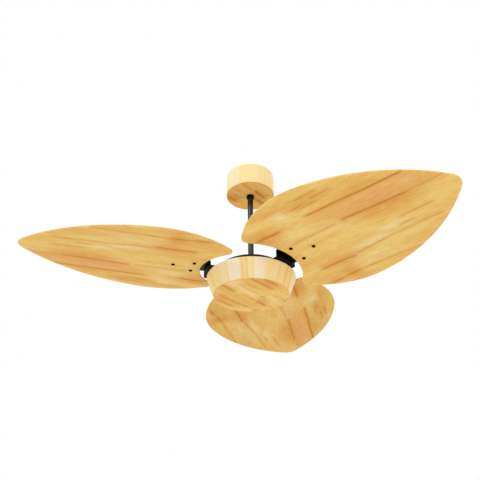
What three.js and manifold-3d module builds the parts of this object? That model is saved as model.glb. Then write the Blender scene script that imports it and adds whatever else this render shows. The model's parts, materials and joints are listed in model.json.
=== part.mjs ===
// A three-blade ceiling fan: a wooden canopy, a slim black downrod, a flat external-rotor motor that
// carries three leaf-shaped wooden blades, and a tapered wooden drum that hides the motor from below.
// Millimetres, +Z up. The origin is the centre of the ceiling bracket's top face, which lies against
// the ceiling, and the fan hangs below it. One blade points along +X.

import * as THREE from "three";
import { mergeVertices } from "three/addons/utils/BufferGeometryUtils.js";
import Module from "manifold-3d";

const wasm = await Module();
wasm.setup();

// ---------------------------------------------------------------------------------------------
// Driving dimensions
// ---------------------------------------------------------------------------------------------

const SEAT = 0.3; // gap between two faces that rest on each other
const FIT = 0.3; // radial clearance of a shank, tube or ring in its hole
const OVERLAP = 1; // how far a piece runs into what it is joined to, or a tool past what it cuts
const DEGREE = Math.PI / 180;

// Facets of a full turn
const LARGE_ROUND = 36;
const MEDIUM_ROUND = 24;
const SMALL_ROUND = 16;
const SCREW_ROUND = 8;

// Ceiling bracket: a plate with two ears that hold the hanger bolt
const bracketWidth = 34;
const bracketSheet = 2;
const bracketCorner = 6;
const earWidth = 24;
const pivotDrop = 22; // ceiling to hanger bolt
const slotSpacing = 80;
const slotLength = 14;
const slotEdge = 3; // plate left past each slot's end
const slotWidth = 6.5;
const bracketLength = slotSpacing + slotLength + 2 * slotEdge;

// Hanger bolt, nut and rubber bush
const hangerBoltRadius = 3;
const hangerHexFlats = 10;
const hangerHeadHeight = 4;
const hangerNutHeight = 5;
const hangerBoltTail = 2;
const bushFlange = 1.6;
const bushFlangeRadius = 9;

// Downrod and the eye welded on its top
const rodRadius = 7.2;
const rodWall = 1.2;
const rodLength = 250; // hanger bolt to the rod's lower end
const eyeRadius = 10;
const eyeWall = 3;
const leadHoleRadius = 3;
const leadHoleDrop = 15; // hanger bolt to the side hole for the supply lead

// Canopy and the collar that carries it on the rod
const canopyRadius = 62;
const canopyHeight = 59;
const canopyWall = 3.5;
const canopyFloor = 6;
const canopyCeilingGap = 3;
const canopyEdgeRound = 1.2;
const collarRadius = 10;
const collarHeight = 8;
const collarRound = 1.6;
const collarScrewRadius = 1.9;

// Coupling between the downrod and the motor shaft
const couplingRadius = 11;
const couplingSocket = 26;
const couplingWeb = 2.4;
const couplingSkirt = 4.8;
const couplingChamfer = 1.5;
const couplingMotorGap = 1.8;
const couplingBoltRadius = 2.5;
const couplingBoltDrop = 13; // coupling top to the cross bolt
const couplingHexFlats = 8;
const couplingHeadHeight = 3.5;
const couplingNutHeight = 4;
const couplingBoltTail = 5;
const cotterWire = 0.8; // radius of the cotter pin's leg
const cotterLength = 15;

// Motor shaft and ball bearings
const shaftRadius = 6;
const shaftBore = 3.5;
const bearingWidth = 10;
const bearingRadius = 15.8;
const bearingRing = 3; // thickness of each bearing ring
const ballRadius = 2.6;
const ballCount = 7;
const ballGroove = 0.35; // gap round a ball in its groove
const cageThickness = 1.2;
const cageHeight = 2.4;

// Stator and rotor core
const leadWindow = 4.4; // upper bearing to stator core, where the lead leaves the shaft
const statorRadius = 55;
const coreHeight = 20;
const slotCount = 12;
const slotFloorRadius = 30;
const slotRoofRadius = 50;
const slotBreadth = 8;
const slotMouth = 3;
const windingOverhang = 8;
const airGap = 0.9;
const rotorOverhang = 1; // how far the rotor core stands past the stator core at each end

// Motor covers
const motorRadius = 78;
const coverSheet = 3;
const coverRoof = 2.5;
const coverShoulder = 6; // ledge that grips the rotor core
const topCoverHeight = 22.1; // motor top to the flange
const bearingSeatWall = 3.2;
const coverHoleRadius = 9.6;
const coverEdgeRound = 3;
const flangeRadius = 94;
const flangeSheet = 2.5;
const ventCount = 6;
const ventInner = 34;
const ventOuter = 56;
const ventWidth = 5;
const earRadius = 7;

// Screws that hold the irons and the top cover on the flange, and the blades on the irons
const screwRadius = 2.4;
const screwHeadRadius = 4.1;
const screwHeadHeight = 2.4;
const screwTail = 1.5;
const screwHeadRound = 1.2;
const driverSlot = 1.1;
const slotDepth = 1.2;
const flangeScrewRadius = 86.5;
const ironScrewSpread = 20; // each side of the iron's middle

// Blade irons
const ironSheet = 2.5;
const ironHalfWidth = 32;
const ironWebRadius = 114;
const ironRise = 15.2; // underside of the base to underside of the blade plate
const ironEndRound = 13;
const ironMotorGap = 1;

// Blades
const bladeCount = 3;
const bladePitch = 6.75; // degrees; the +v edge is the lower one
const bladeThickness = 6;
const bladeEdgeRound = 1.6;
const bladeTipRadius = 534.4; // fan axis to tip
const bladeTipRound = 31.8;
const bladeTipAngle = 38.3; // half the angle that the tip's arc turns through, in degrees
const bladeWidestRadius = 231.5; // fan axis to widest place
const bladeHalfWidth = 175.7;
const tipHandleLength = 178; // how far the side runs on straight from the tip's arc
const widestHandleLength = 34; // how far it runs straight on the tip side of the widest place
const shoulderHandleLength = 77.6; // and on the root side
const hornHandleLength = 23.6; // and before it reaches the horn
const hornRound = 16.8;
const hornAngle = 48.9; // degrees from the blade's middle line, seen from the fan axis
const hornArcAngle = 133.7; // degrees at which the side meets the horn's arc
const notchGap = 10; // iron's web to the root edge, an arc round the fan axis
const bladeScrewInset = 20; // root edge to the inner two blade screws
const bladeScrewPitch = 46; // along the blade, to the outer screw
const bladeScrewSpread = 23; // each side of the middle

// Drum
const drumTopRadius = 107.5;
const drumBottomRadius = 90.2;
const drumHeight = 46.5;
const drumWall = 5;
const drumFloor = 8;
const drumRimRound = 1.6;
const drumEdgeRound = 1.2;
const drumRunningGap = 1.2; // flange top to drum rim
const insertFlangeRadius = 15;
const insertFlange = 1.5;
const insertBarrelRadius = 8.6;
const insertFloor = 2; // wood left under the insert
const shaftInset = 1; // insert's lower face to the shaft's lower end
const shaftNutFlats = 19;
const shaftNutHeight = 5.5;
const shaftNutBoss = 8.4;
const motorNutGap = 1.2;

// Electrical pieces
const leadRadius = 1.1;
const connectorSize = { x: 26, y: 13, z: 10 };
const connectorDistance = 26; // rod axis to the near face
const terminalCount = 3;
const terminalRadius = 2;
const terminalDepth = 5;
const capacitorSize = { x: 36, y: 17, z: 15 };
const capacitorDrop = 16.5; // hanger bolt to the capacitor's top
const strapSheet = 1.5;
const strapHeight = 8;

// ---------------------------------------------------------------------------------------------
// Levels along the fan's axis, from the ceiling down
// ---------------------------------------------------------------------------------------------

const pivotZ = -pivotDrop;
const canopyTop = -canopyCeilingGap;
const canopyBottom = canopyTop - canopyHeight;
const rodEnd = pivotZ - rodLength;
const couplingFloor = rodEnd - SEAT;
const couplingTop = couplingFloor + couplingSocket;
const couplingBoltZ = couplingTop - couplingBoltDrop;
const couplingShelf = couplingFloor - couplingWeb;
const couplingBottom = couplingShelf - couplingSkirt;
const shaftTop = couplingShelf - SEAT;
const motorTop = couplingBottom - couplingMotorGap;
const upperBearingTop = motorTop - coverRoof - SEAT;
const upperBearingBottom = upperBearingTop - bearingWidth;
const coreTop = upperBearingBottom - leadWindow;
const coreBottom = coreTop - coreHeight;
const lowerBearingTop = coreBottom - SEAT;
const lowerBearingBottom = lowerBearingTop - bearingWidth;
const motorBottom = lowerBearingBottom - SEAT - coverRoof;
const flangeTop = motorTop - topCoverHeight;
const flangeBottom = flangeTop - flangeSheet;
const ironBase = flangeTop + SEAT;
const ironPlate = ironBase + ironRise;
const drumRim = flangeTop - drumRunningGap;
const drumBottom = drumRim - drumHeight;
const drumFloorTop = drumBottom + drumFloor;
const insertTop = drumFloorTop + SEAT + insertFlange;
const insertHoleFloor = drumBottom + insertFloor;
const insertBottom = insertHoleFloor + SEAT;
const shaftBottom = insertBottom + shaftInset;
const shaftNutTop = motorBottom - motorNutGap;

const notchRadius = ironWebRadius + notchGap;
const bladeScrewRoot = notchRadius + bladeScrewInset;
const bladeScrewOuter = bladeScrewRoot + bladeScrewPitch;
const rodBore = rodRadius - rodWall;
const ballCircle = (shaftRadius + FIT + bearingRadius) / 2;
const screwHole = screwRadius + FIT;

// ---------------------------------------------------------------------------------------------
// Materials
// ---------------------------------------------------------------------------------------------

const material = (color, roughness, metalness) =>
  new THREE.MeshStandardMaterial({ color, roughness, metalness });

const bladeWood = material(0xdcb06b, 0.45, 0);
const sideWood = material(0xf0dca6, 0.45, 0);
const blackPaint = material(0x121212, 0.3, 0.2);
const zincSteel = material(0xb9bcc0, 0.35, 0.9);
const castAluminium = material(0x2a2a2c, 0.5, 0.3);
const bearingSteel = material(0xd5d7da, 0.2, 1);
const electricalSteel = material(0x6d7075, 0.5, 0.8);
const copperWire = material(0xb5672f, 0.35, 0.9);
const rubber = material(0x1c1c1c, 0.85, 0);
const leadSheath = material(0x262626, 0.6, 0);
const whitePlastic = material(0xe6e4dc, 0.5, 0);

// ---------------------------------------------------------------------------------------------
// Geometry helpers
// ---------------------------------------------------------------------------------------------

/** A profile of [radius, z] pairs, listed with the material on its left, turned about Z. */
function turned(profile, facets) {
  const points = profile.map(([radius, z]) => new THREE.Vector2(radius, z));
  return new THREE.LatheGeometry(points, facets).rotateX(Math.PI / 2);
}

/** A tube or ring between two radii and two levels. */
function ring(inner, outer, bottom, top, facets) {
  return turned(
    [[inner, bottom], [outer, bottom], [outer, top], [inner, top], [inner, bottom]],
    facets,
  );
}

/** A solid cylinder between two levels. */
function disc(radius, bottom, top, facets) {
  return turned([[0, bottom], [radius, bottom], [radius, top], [0, top]], facets);
}

/** Points of an arc in the [radius, z] plane, for rounding a profile's corner. */
function arcPoints(centreX, centreY, radius, from, to, steps) {
  return Array.from({ length: steps + 1 }, (_, i) => {
    const angle = (from + ((to - from) * i) / steps) * DEGREE;
    return [centreX + radius * Math.cos(angle), centreY + radius * Math.sin(angle)];
  });
}

/** A flat shape extruded from one level to another. */
function plate(shape, bottom, top, curveSegments = 4) {
  return new THREE.ExtrudeGeometry(shape, {
    depth: top - bottom,
    bevelEnabled: false,
    curveSegments,
  }).translate(0, 0, bottom);
}

/** A box between two corners. */
function block(low, high) {
  const [x, y, z] = high.map((value, i) => value - low[i]);
  return new THREE.BoxGeometry(x, y, z).translate(low[0] + x / 2, low[1] + y / 2, low[2] + z / 2);
}

/** A hexagonal prism between two levels, sized by its width across flats. */
function hexagon(flats, bottom, top) {
  return disc(flats / Math.sqrt(3), bottom, top, 6);
}

/** A slot with round ends along X, centred on a point. */
function slotShape(centreX, centreY, length, width) {
  const half = (length - width) / 2;
  const shape = new THREE.Shape();
  shape.absarc(centreX + half, centreY, width / 2, -Math.PI / 2, Math.PI / 2);
  shape.absarc(centreX - half, centreY, width / 2, Math.PI / 2, (3 * Math.PI) / 2);
  shape.closePath();
  return shape;
}

function circlePath(x, y, radius) {
  return new THREE.Path().absarc(x, y, radius, 0, 2 * Math.PI);
}

/** A round tube along a curve. */
function tubeAlong(curve, radius, sides, steps) {
  const section = new THREE.Shape();
  for (let i = 0; i < sides; i++) {
    const angle = (2 * Math.PI * i) / sides;
    const corner = [radius * Math.cos(angle), radius * Math.sin(angle)];
    if (i) section.lineTo(...corner);
    else section.moveTo(...corner);
  }
  section.closePath();
  return new THREE.ExtrudeGeometry(section, { steps, extrudePath: curve, bevelEnabled: false });
}

/** A closed geometry as a solid that can be joined and cut. */
function solid(geometry) {
  const bare = geometry.index ? geometry.toNonIndexed() : geometry.clone();
  bare.deleteAttribute("normal");
  bare.deleteAttribute("uv");
  const merged = mergeVertices(bare, 1e-4);
  return new wasm.Manifold(
    new wasm.Mesh({
      numProp: 3,
      vertProperties: new Float32Array(merged.attributes.position.array),
      triVerts: new Uint32Array(merged.index.array),
    }),
  );
}

/** A solid back as a geometry. */
function geometryOf(manifold) {
  const mesh = manifold.getMesh();
  const positions = new Float32Array(mesh.numVert * 3);
  for (let i = 0; i < mesh.numVert; i++) {
    positions.set(mesh.vertProperties.subarray(i * mesh.numProp, i * mesh.numProp + 3), i * 3);
  }
  const geometry = new THREE.BufferGeometry();
  geometry.setAttribute("position", new THREE.BufferAttribute(positions, 3));
  geometry.setIndex(new THREE.BufferAttribute(new Uint32Array(mesh.triVerts), 1));
  geometry.computeVertexNormals();
  return geometry;
}

const join = (...geometries) =>
  geometryOf(geometries.map(solid).reduce((whole, next) => whole.add(next)));

const cut = (geometry, ...tools) =>
  geometryOf(tools.map(solid).reduce((whole, tool) => whole.subtract(tool), solid(geometry)));

const fan = new THREE.Group();

function addMesh(parent, name, geometry, finish) {
  const mesh = new THREE.Mesh(geometry, finish);
  mesh.name = name;
  parent.add(mesh);
  return mesh;
}

// ---------------------------------------------------------------------------------------------
// Ceiling bracket, hanger bolt and bush
// ---------------------------------------------------------------------------------------------

/** Turns a geometry made along Z to lie along Y through the hanger bolt's axis. */
function alongHangerBolt(geometry) {
  return geometry.rotateX(-Math.PI / 2).translate(0, 0, pivotZ);
}

function ceilingBracket() {
  const outline = new THREE.Shape();
  const halfLength = bracketLength / 2;
  const halfWidth = bracketWidth / 2;
  const cornerX = halfLength - bracketCorner;
  const cornerY = halfWidth - bracketCorner;
  outline.absarc(cornerX, cornerY, bracketCorner, 0, Math.PI / 2);
  outline.absarc(-cornerX, cornerY, bracketCorner, Math.PI / 2, Math.PI);
  outline.absarc(-cornerX, -cornerY, bracketCorner, Math.PI, (3 * Math.PI) / 2);
  outline.absarc(cornerX, -cornerY, bracketCorner, (3 * Math.PI) / 2, 2 * Math.PI);
  outline.closePath();
  for (const side of [-1, 1]) {
    outline.holes.push(slotShape((side * slotSpacing) / 2, 0, slotLength, slotWidth));
  }
  // An ear is drawn in a plane whose up direction becomes Z when it is turned.
  const ear = new THREE.Shape();
  ear.moveTo(-earWidth / 2, -bracketSheet / 2);
  ear.lineTo(-earWidth / 2, pivotZ);
  ear.absarc(0, pivotZ, earWidth / 2, Math.PI, 2 * Math.PI);
  ear.lineTo(earWidth / 2, -bracketSheet / 2);
  ear.closePath();
  ear.holes.push(circlePath(0, pivotZ, hangerBoltRadius + FIT));
  const ears = [-halfWidth, halfWidth - bracketSheet].map((low) =>
    plate(ear, -low - bracketSheet, -low).rotateX(Math.PI / 2),
  );
  return join(plate(outline, -bracketSheet, 0), ...ears);
}

function hangerBolt() {
  const under = -bracketWidth / 2 - SEAT;
  const end = bracketWidth / 2 + SEAT + hangerNutHeight + hangerBoltTail;
  return alongHangerBolt(
    join(
      hexagon(hangerHexFlats, under - hangerHeadHeight, under),
      disc(hangerBoltRadius, under - OVERLAP, end, SMALL_ROUND),
    ),
  );
}

function hangerNut() {
  const bottom = bracketWidth / 2 + SEAT;
  return alongHangerBolt(
    cut(
      hexagon(hangerHexFlats, bottom, bottom + hangerNutHeight),
      disc(hangerBoltRadius + FIT, bottom - OVERLAP, bottom + hangerNutHeight + OVERLAP, SMALL_ROUND),
    ),
  );
}

/** Half the length of the space between the ears that the bush fills. */
const bushHalf = bracketWidth / 2 - bracketSheet - SEAT;
const eyeHalf = bushHalf - bushFlange - SEAT;

function hangerBush() {
  const bore = hangerBoltRadius + FIT;
  const barrel = eyeRadius - eyeWall - FIT;
  const inner = bushHalf - bushFlange;
  return alongHangerBolt(
    turned(
      [
        [bore, -bushHalf],
        [bushFlangeRadius, -bushHalf],
        [bushFlangeRadius, -inner],
        [barrel, -inner],
        [barrel, inner],
        [bushFlangeRadius, inner],
        [bushFlangeRadius, bushHalf],
        [bore, bushHalf],
        [bore, -bushHalf],
      ],
      SMALL_ROUND,
    ),
  );
}

// ---------------------------------------------------------------------------------------------
// Downrod, coupling and shaft
// ---------------------------------------------------------------------------------------------

/** Turns a geometry made along Z to lie along X through the coupling bolt's axis. */
function alongCouplingBolt(geometry) {
  return geometry.rotateY(Math.PI / 2).translate(0, 0, couplingBoltZ);
}

function crossHole() {
  const reach = couplingRadius + OVERLAP;
  return alongCouplingBolt(disc(couplingBoltRadius + FIT, -reach, reach, SMALL_ROUND));
}

function downrod() {
  const eyeOuter = alongHangerBolt(disc(eyeRadius, -eyeHalf, eyeHalf, MEDIUM_ROUND));
  const eyeReach = eyeHalf + OVERLAP;
  const eyeBore = alongHangerBolt(disc(eyeRadius - eyeWall, -eyeReach, eyeReach, SMALL_ROUND));
  const tube = disc(rodRadius, rodEnd, pivotZ, SMALL_ROUND);
  const bore = disc(rodBore, rodEnd - OVERLAP, pivotZ - eyeRadius, SMALL_ROUND);
  const leadHole = disc(leadHoleRadius, 0, rodRadius + OVERLAP, SCREW_ROUND)
    .rotateX(-Math.PI / 2)
    .translate(0, 0, pivotZ - leadHoleDrop);
  return cut(join(eyeOuter, tube), eyeBore, bore, leadHole, crossHole());
}

function shaftCoupling() {
  const socket = rodRadius + FIT;
  const lower = shaftRadius + FIT;
  const passage = shaftBore + FIT;
  return cut(
    turned(
      [
        [passage, couplingShelf],
        [lower, couplingShelf],
        [lower, couplingBottom],
        [couplingRadius - couplingChamfer, couplingBottom],
        [couplingRadius, couplingBottom + couplingChamfer],
        [couplingRadius, couplingTop - couplingChamfer],
        [couplingRadius - couplingChamfer, couplingTop],
        [socket, couplingTop],
        [socket, couplingFloor],
        [passage, couplingFloor],
        [passage, couplingShelf],
      ],
      MEDIUM_ROUND,
    ),
    crossHole(),
  );
}

const couplingNutFace = couplingRadius + SEAT;
const cotterX = couplingNutFace + couplingNutHeight + SEAT + cotterWire + FIT;

function couplingBolt() {
  const end = couplingNutFace + couplingNutHeight + couplingBoltTail;
  const bolt = alongCouplingBolt(
    join(
      hexagon(couplingHexFlats, -couplingNutFace - couplingHeadHeight, -couplingNutFace),
      disc(couplingBoltRadius, -couplingNutFace - OVERLAP, end, SMALL_ROUND),
    ),
  );
  const cotterHole = disc(
    cotterWire + FIT,
    couplingBoltZ - couplingBoltRadius - OVERLAP,
    couplingBoltZ + couplingBoltRadius + OVERLAP,
    SCREW_ROUND,
  ).translate(cotterX, 0, 0);
  return cut(bolt, cotterHole);
}

function couplingNut() {
  return alongCouplingBolt(
    cut(
      hexagon(couplingHexFlats, couplingNutFace, couplingNutFace + couplingNutHeight),
      disc(
        couplingBoltRadius + FIT,
        couplingNutFace - OVERLAP,
        couplingNutFace + couplingNutHeight + OVERLAP,
        SMALL_ROUND,
      ),
    ),
  );
}

/** A cotter pin through the bolt's tail: a straight leg with a round eye on top. */
function cotterPin() {
  const eyeCentre = couplingBoltZ + couplingBoltRadius + SEAT + 3 * cotterWire;
  const leg = disc(cotterWire, eyeCentre - cotterLength, eyeCentre - 2 * cotterWire, 8);
  const eye = new THREE.TorusGeometry(2 * cotterWire, cotterWire, 8, SCREW_ROUND)
    .rotateY(Math.PI / 2)
    .translate(0, 0, eyeCentre);
  return join(leg, eye).translate(cotterX, 0, 0);
}

function motorShaft() {
  const halfWidth = leadWindow / 2 - SEAT;
  return cut(
    ring(shaftBore, shaftRadius, shaftBottom, shaftTop, SMALL_ROUND),
    block(
      [-halfWidth, 0, coreTop + SEAT],
      [halfWidth, shaftRadius + OVERLAP, upperBearingBottom + leadWindow / 2],
    ),
  );
}

// ---------------------------------------------------------------------------------------------
// Bearings
// ---------------------------------------------------------------------------------------------

/** The ball groove's half profile, from the ring's face to the groove's floor and back. */
function grooveProfile(side, face, middle) {
  const reach = ballRadius + ballGroove;
  const lip = Math.abs(face - ballCircle);
  const lipAngle = Math.acos(lip / reach) / DEGREE;
  return arcPoints(0, 0, reach, -lipAngle, lipAngle, 3).map(([across, along]) => [
    ballCircle + side * across,
    middle + along,
  ]);
}

function bearingInner(top) {
  const bore = shaftRadius + FIT;
  const face = bore + bearingRing;
  const bottom = top - bearingWidth;
  return turned(
    [
      [bore, bottom],
      [face, bottom],
      ...grooveProfile(-1, face, (top + bottom) / 2),
      [face, top],
      [bore, top],
      [bore, bottom],
    ],
    SMALL_ROUND,
  );
}

function bearingOuter(top) {
  const face = bearingRadius - bearingRing;
  const bottom = top - bearingWidth;
  return turned(
    [
      [bearingRadius, top],
      [face, top],
      ...grooveProfile(1, face, (top + bottom) / 2).reverse(),
      [face, bottom],
      [bearingRadius, bottom],
      [bearingRadius, top],
    ],
    MEDIUM_ROUND,
  );
}

function ballCage(top) {
  const middle = top - bearingWidth / 2;
  const cage = ring(
    ballCircle - cageThickness / 2,
    ballCircle + cageThickness / 2,
    middle - cageHeight / 2,
    middle + cageHeight / 2,
    SMALL_ROUND,
  );
  const balls = Array.from({ length: ballCount }, (_, i) => {
    const angle = ((i + 0.5) * 2 * Math.PI) / ballCount;
    return new THREE.SphereGeometry(ballRadius, 6, 4)
      .rotateX(Math.PI / 2)
      .translate(ballCircle * Math.cos(angle), ballCircle * Math.sin(angle), middle);
  });
  return join(cage, ...balls);
}

// ---------------------------------------------------------------------------------------------
// Stator and rotor core
// ---------------------------------------------------------------------------------------------

/** Calls make(angle) for each of count equal steps round the axis. */
const around = (count, make, start = 0) =>
  Array.from({ length: count }, (_, i) => make(start + (i * 2 * Math.PI) / count));

function statorCore() {
  const stack = ring(shaftRadius + FIT, statorRadius, coreBottom, coreTop, LARGE_ROUND);
  const slot = new THREE.Shape();
  slot.moveTo(slotFloorRadius, -slotBreadth / 2);
  slot.lineTo(slotRoofRadius, -slotBreadth / 2);
  slot.lineTo(slotRoofRadius, -slotMouth / 2);
  slot.lineTo(statorRadius + OVERLAP, -slotMouth / 2);
  slot.lineTo(statorRadius + OVERLAP, slotMouth / 2);
  slot.lineTo(slotRoofRadius, slotMouth / 2);
  slot.lineTo(slotRoofRadius, slotBreadth / 2);
  slot.lineTo(slotFloorRadius, slotBreadth / 2);
  slot.closePath();
  const slots = around(slotCount, (angle) =>
    plate(slot, coreBottom - OVERLAP, coreTop + OVERLAP).rotateZ(angle),
  );
  return cut(stack, ...slots);
}

function statorWinding() {
  const floor = slotFloorRadius + SEAT;
  const roof = slotRoofRadius - SEAT;
  const half = slotBreadth / 2 - SEAT;
  const low = coreBottom - SEAT - OVERLAP;
  const high = coreTop + SEAT + OVERLAP;
  const endTurns = (bottom) => ring(floor, roof, bottom, bottom + windingOverhang, MEDIUM_ROUND);
  const sides = around(slotCount, (angle) =>
    block([floor + OVERLAP, -half, low], [roof - OVERLAP, half, high]).rotateZ(angle),
  );
  return join(
    endTurns(coreTop + SEAT),
    endTurns(coreBottom - SEAT - windingOverhang),
    ...sides,
  );
}

const rotorBore = statorRadius + airGap;
const coverInner = motorRadius - coverSheet;
const ledgeInner = coverInner - coverShoulder;

function rotorCore() {
  return ring(rotorBore, coverInner - FIT, coreBottom - rotorOverhang, coreTop + rotorOverhang, LARGE_ROUND);
}

// ---------------------------------------------------------------------------------------------
// Motor covers
// ---------------------------------------------------------------------------------------------

const seatInner = bearingRadius + FIT;
const seatOuter = seatInner + bearingSeatWall;

/** A straight hole along Z through a point of the flange's screw circle. */
function flangeHole(radius, x, y) {
  return disc(radius, motorBottom, motorTop, SCREW_ROUND).translate(x, y, 0);
}

/** Where the two screws of an iron stand, in the iron's own frame. */
const ironScrewPlaces = [-1, 1].map((side) => [
  Math.sqrt(flangeScrewRadius ** 2 - ironScrewSpread ** 2),
  side * ironScrewSpread,
]);

function rotatedPlace([x, y], angle) {
  const point = new THREE.Vector2(x, y).rotateAround(new THREE.Vector2(), angle);
  return [point.x, point.y];
}

const bladeAngles = Array.from({ length: bladeCount }, (_, i) => (i * 2 * Math.PI) / bladeCount);
const earAngles = bladeAngles.map((angle) => angle + Math.PI / bladeCount);
const earPlaces = earAngles.map((angle) => rotatedPlace([flangeScrewRadius, 0], angle));
const ironScrews = bladeAngles.flatMap((angle) =>
  ironScrewPlaces.map((place) => rotatedPlace(place, angle)),
);

function topCover() {
  const under = motorTop - coverRoof;
  const edge = flangeTop + SEAT;
  const ledge = coreTop + rotorOverhang + SEAT;
  const shell = turned(
    [
      [coverHoleRadius, under],
      [seatInner, under],
      [seatInner, upperBearingBottom],
      [seatOuter, upperBearingBottom],
      [seatOuter, under],
      [ledgeInner, under],
      [ledgeInner, ledge],
      [coverInner, ledge],
      [coverInner, edge],
      [motorRadius, edge],
      ...arcPoints(
        motorRadius - coverEdgeRound,
        motorTop - coverEdgeRound,
        coverEdgeRound,
        0,
        90,
        2,
      ),
      [coverHoleRadius, motorTop],
      [coverHoleRadius, under],
    ],
    LARGE_ROUND,
  );
  const ear = new THREE.Shape();
  ear.moveTo(motorRadius - OVERLAP, -earRadius);
  ear.absarc(flangeScrewRadius, 0, earRadius, -Math.PI / 2, Math.PI / 2);
  ear.lineTo(motorRadius - OVERLAP, earRadius);
  ear.closePath();
  const ears = earAngles.map((angle) => plate(ear, edge, edge + coverSheet).rotateZ(angle));
  const vent = slotShape((ventInner + ventOuter) / 2, 0, ventOuter - ventInner, ventWidth);
  const vents = around(
    ventCount,
    (angle) => plate(vent, under - OVERLAP, motorTop + OVERLAP, 2).rotateZ(angle),
    Math.PI / ventCount,
  );
  const holes = earPlaces.map(([x, y]) => flangeHole(screwHole, x, y));
  return cut(join(shell, ...ears), ...vents, ...holes);
}

function bottomCover() {
  const over = motorBottom + coverRoof;
  const ledge = coreBottom - rotorOverhang - SEAT;
  const shell = turned(
    [
      [coverHoleRadius, motorBottom],
      ...arcPoints(
        motorRadius - 2 * coverEdgeRound,
        motorBottom + 2 * coverEdgeRound,
        2 * coverEdgeRound,
        -90,
        0,
        2,
      ),
      [motorRadius, flangeBottom],
      [flangeRadius, flangeBottom],
      [flangeRadius, flangeTop],
      [coverInner, flangeTop],
      [coverInner, ledge],
      [ledgeInner, ledge],
      [ledgeInner, over],
      [seatOuter, over],
      [seatOuter, lowerBearingTop],
      [seatInner, lowerBearingTop],
      [seatInner, over],
      [coverHoleRadius, over],
      [coverHoleRadius, motorBottom],
    ],
    LARGE_ROUND,
  );
  const holes = [...earPlaces, ...ironScrews].map(([x, y]) => flangeHole(screwHole, x, y));
  return cut(shell, ...holes);
}

// ---------------------------------------------------------------------------------------------
// Screws
// ---------------------------------------------------------------------------------------------

/** A pan-head screw whose slotted head stands above z = 0 and whose shank runs down to -length. */
function panScrew(length) {
  const body = turned(
    [
      [0, -length],
      [screwRadius, -length],
      [screwRadius, 0],
      [screwHeadRadius, 0],
      [screwHeadRadius, screwHeadHeight - screwHeadRound],
      [screwHeadRadius - screwHeadRound, screwHeadHeight],
      [0, screwHeadHeight],
    ],
    SCREW_ROUND,
  );
  const floor = screwHeadHeight - slotDepth;
  const reach = screwHeadRadius + OVERLAP;
  return cut(
    body,
    block([-reach, -driverSlot / 2, floor], [reach, driverSlot / 2, screwHeadHeight + OVERLAP]),
  );
}

// ---------------------------------------------------------------------------------------------
// Blade irons
// ---------------------------------------------------------------------------------------------

const bladeScrewPlaces = [
  [bladeScrewRoot, bladeScrewSpread],
  [bladeScrewRoot, -bladeScrewSpread],
  [bladeScrewOuter, 0],
];

/** The iron's base, an arc-ended plate on the flange that reaches out to the web. */
function ironBasePlate() {
  const inner = motorRadius + ironMotorGap;
  const innerAngle = Math.asin(ironHalfWidth / inner);
  const outerAngle = Math.asin(ironHalfWidth / ironWebRadius);
  const shape = new THREE.Shape();
  shape.absarc(0, 0, ironWebRadius, -outerAngle, outerAngle, false);
  shape.absarc(0, 0, inner, innerAngle, -innerAngle, true);
  shape.closePath();
  return plate(shape, ironBase, ironBase + ironSheet);
}

/** The web that climbs from the base's outer edge to the pitched blade plate. */
function ironWeb() {
  const angle = Math.asin(ironHalfWidth / ironWebRadius);
  const shape = new THREE.Shape();
  shape.absarc(0, 0, ironWebRadius, -angle, angle, false);
  shape.absarc(0, 0, ironWebRadius - ironSheet, angle, -angle, true);
  shape.closePath();
  const tall = plate(shape, ironBase, ironPlate + 2 * ironHalfWidth);
  // Everything above the middle of the pitched plate is cut away.
  const above = pitched(
    block([0, -bladeTipRadius, ironSheet / 2], [bladeTipRadius, bladeTipRadius, 4 * ironHalfWidth]),
  );
  return cut(tall, above);
}

/** Turns a geometry from the blade's own flat frame into its pitched place. */
function pitched(geometry) {
  return geometry.rotateX(-bladePitch * DEGREE).translate(0, 0, ironPlate);
}

/** The plate that lies on the blade: as wide as the web at its root, round at its outer end. */
function ironBladePlate() {
  const angle = Math.asin(ironHalfWidth / ironWebRadius);
  const inner = ironWebRadius - ironSheet;
  const endX = bladeScrewOuter;
  const shoulderX = bladeScrewRoot + ironEndRound / 2;
  const reach = Math.hypot(endX - shoulderX, ironHalfWidth);
  const lean = Math.atan2(ironHalfWidth, endX - shoulderX) - Math.asin(ironEndRound / reach);
  const shape = new THREE.Shape();
  shape.absarc(0, 0, inner, angle, -angle, true);
  shape.lineTo(ironWebRadius, -ironHalfWidth);
  shape.lineTo(shoulderX, -ironHalfWidth);
  shape.absarc(endX, 0, ironEndRound, lean - Math.PI / 2, Math.PI / 2 - lean, false);
  shape.lineTo(shoulderX, ironHalfWidth);
  shape.lineTo(ironWebRadius, ironHalfWidth);
  shape.closePath();
  for (const [u, v] of bladeScrewPlaces) shape.holes.push(circlePath(u, v, screwHole));
  return pitched(plate(shape, 0, ironSheet));
}

function bladeIron() {
  const whole = join(ironBasePlate(), ironWeb(), ironBladePlate());
  return cut(whole, ...ironScrewPlaces.map(([x, y]) => flangeHole(screwHole, x, y)));
}

// ---------------------------------------------------------------------------------------------
// Blades
// ---------------------------------------------------------------------------------------------

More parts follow.
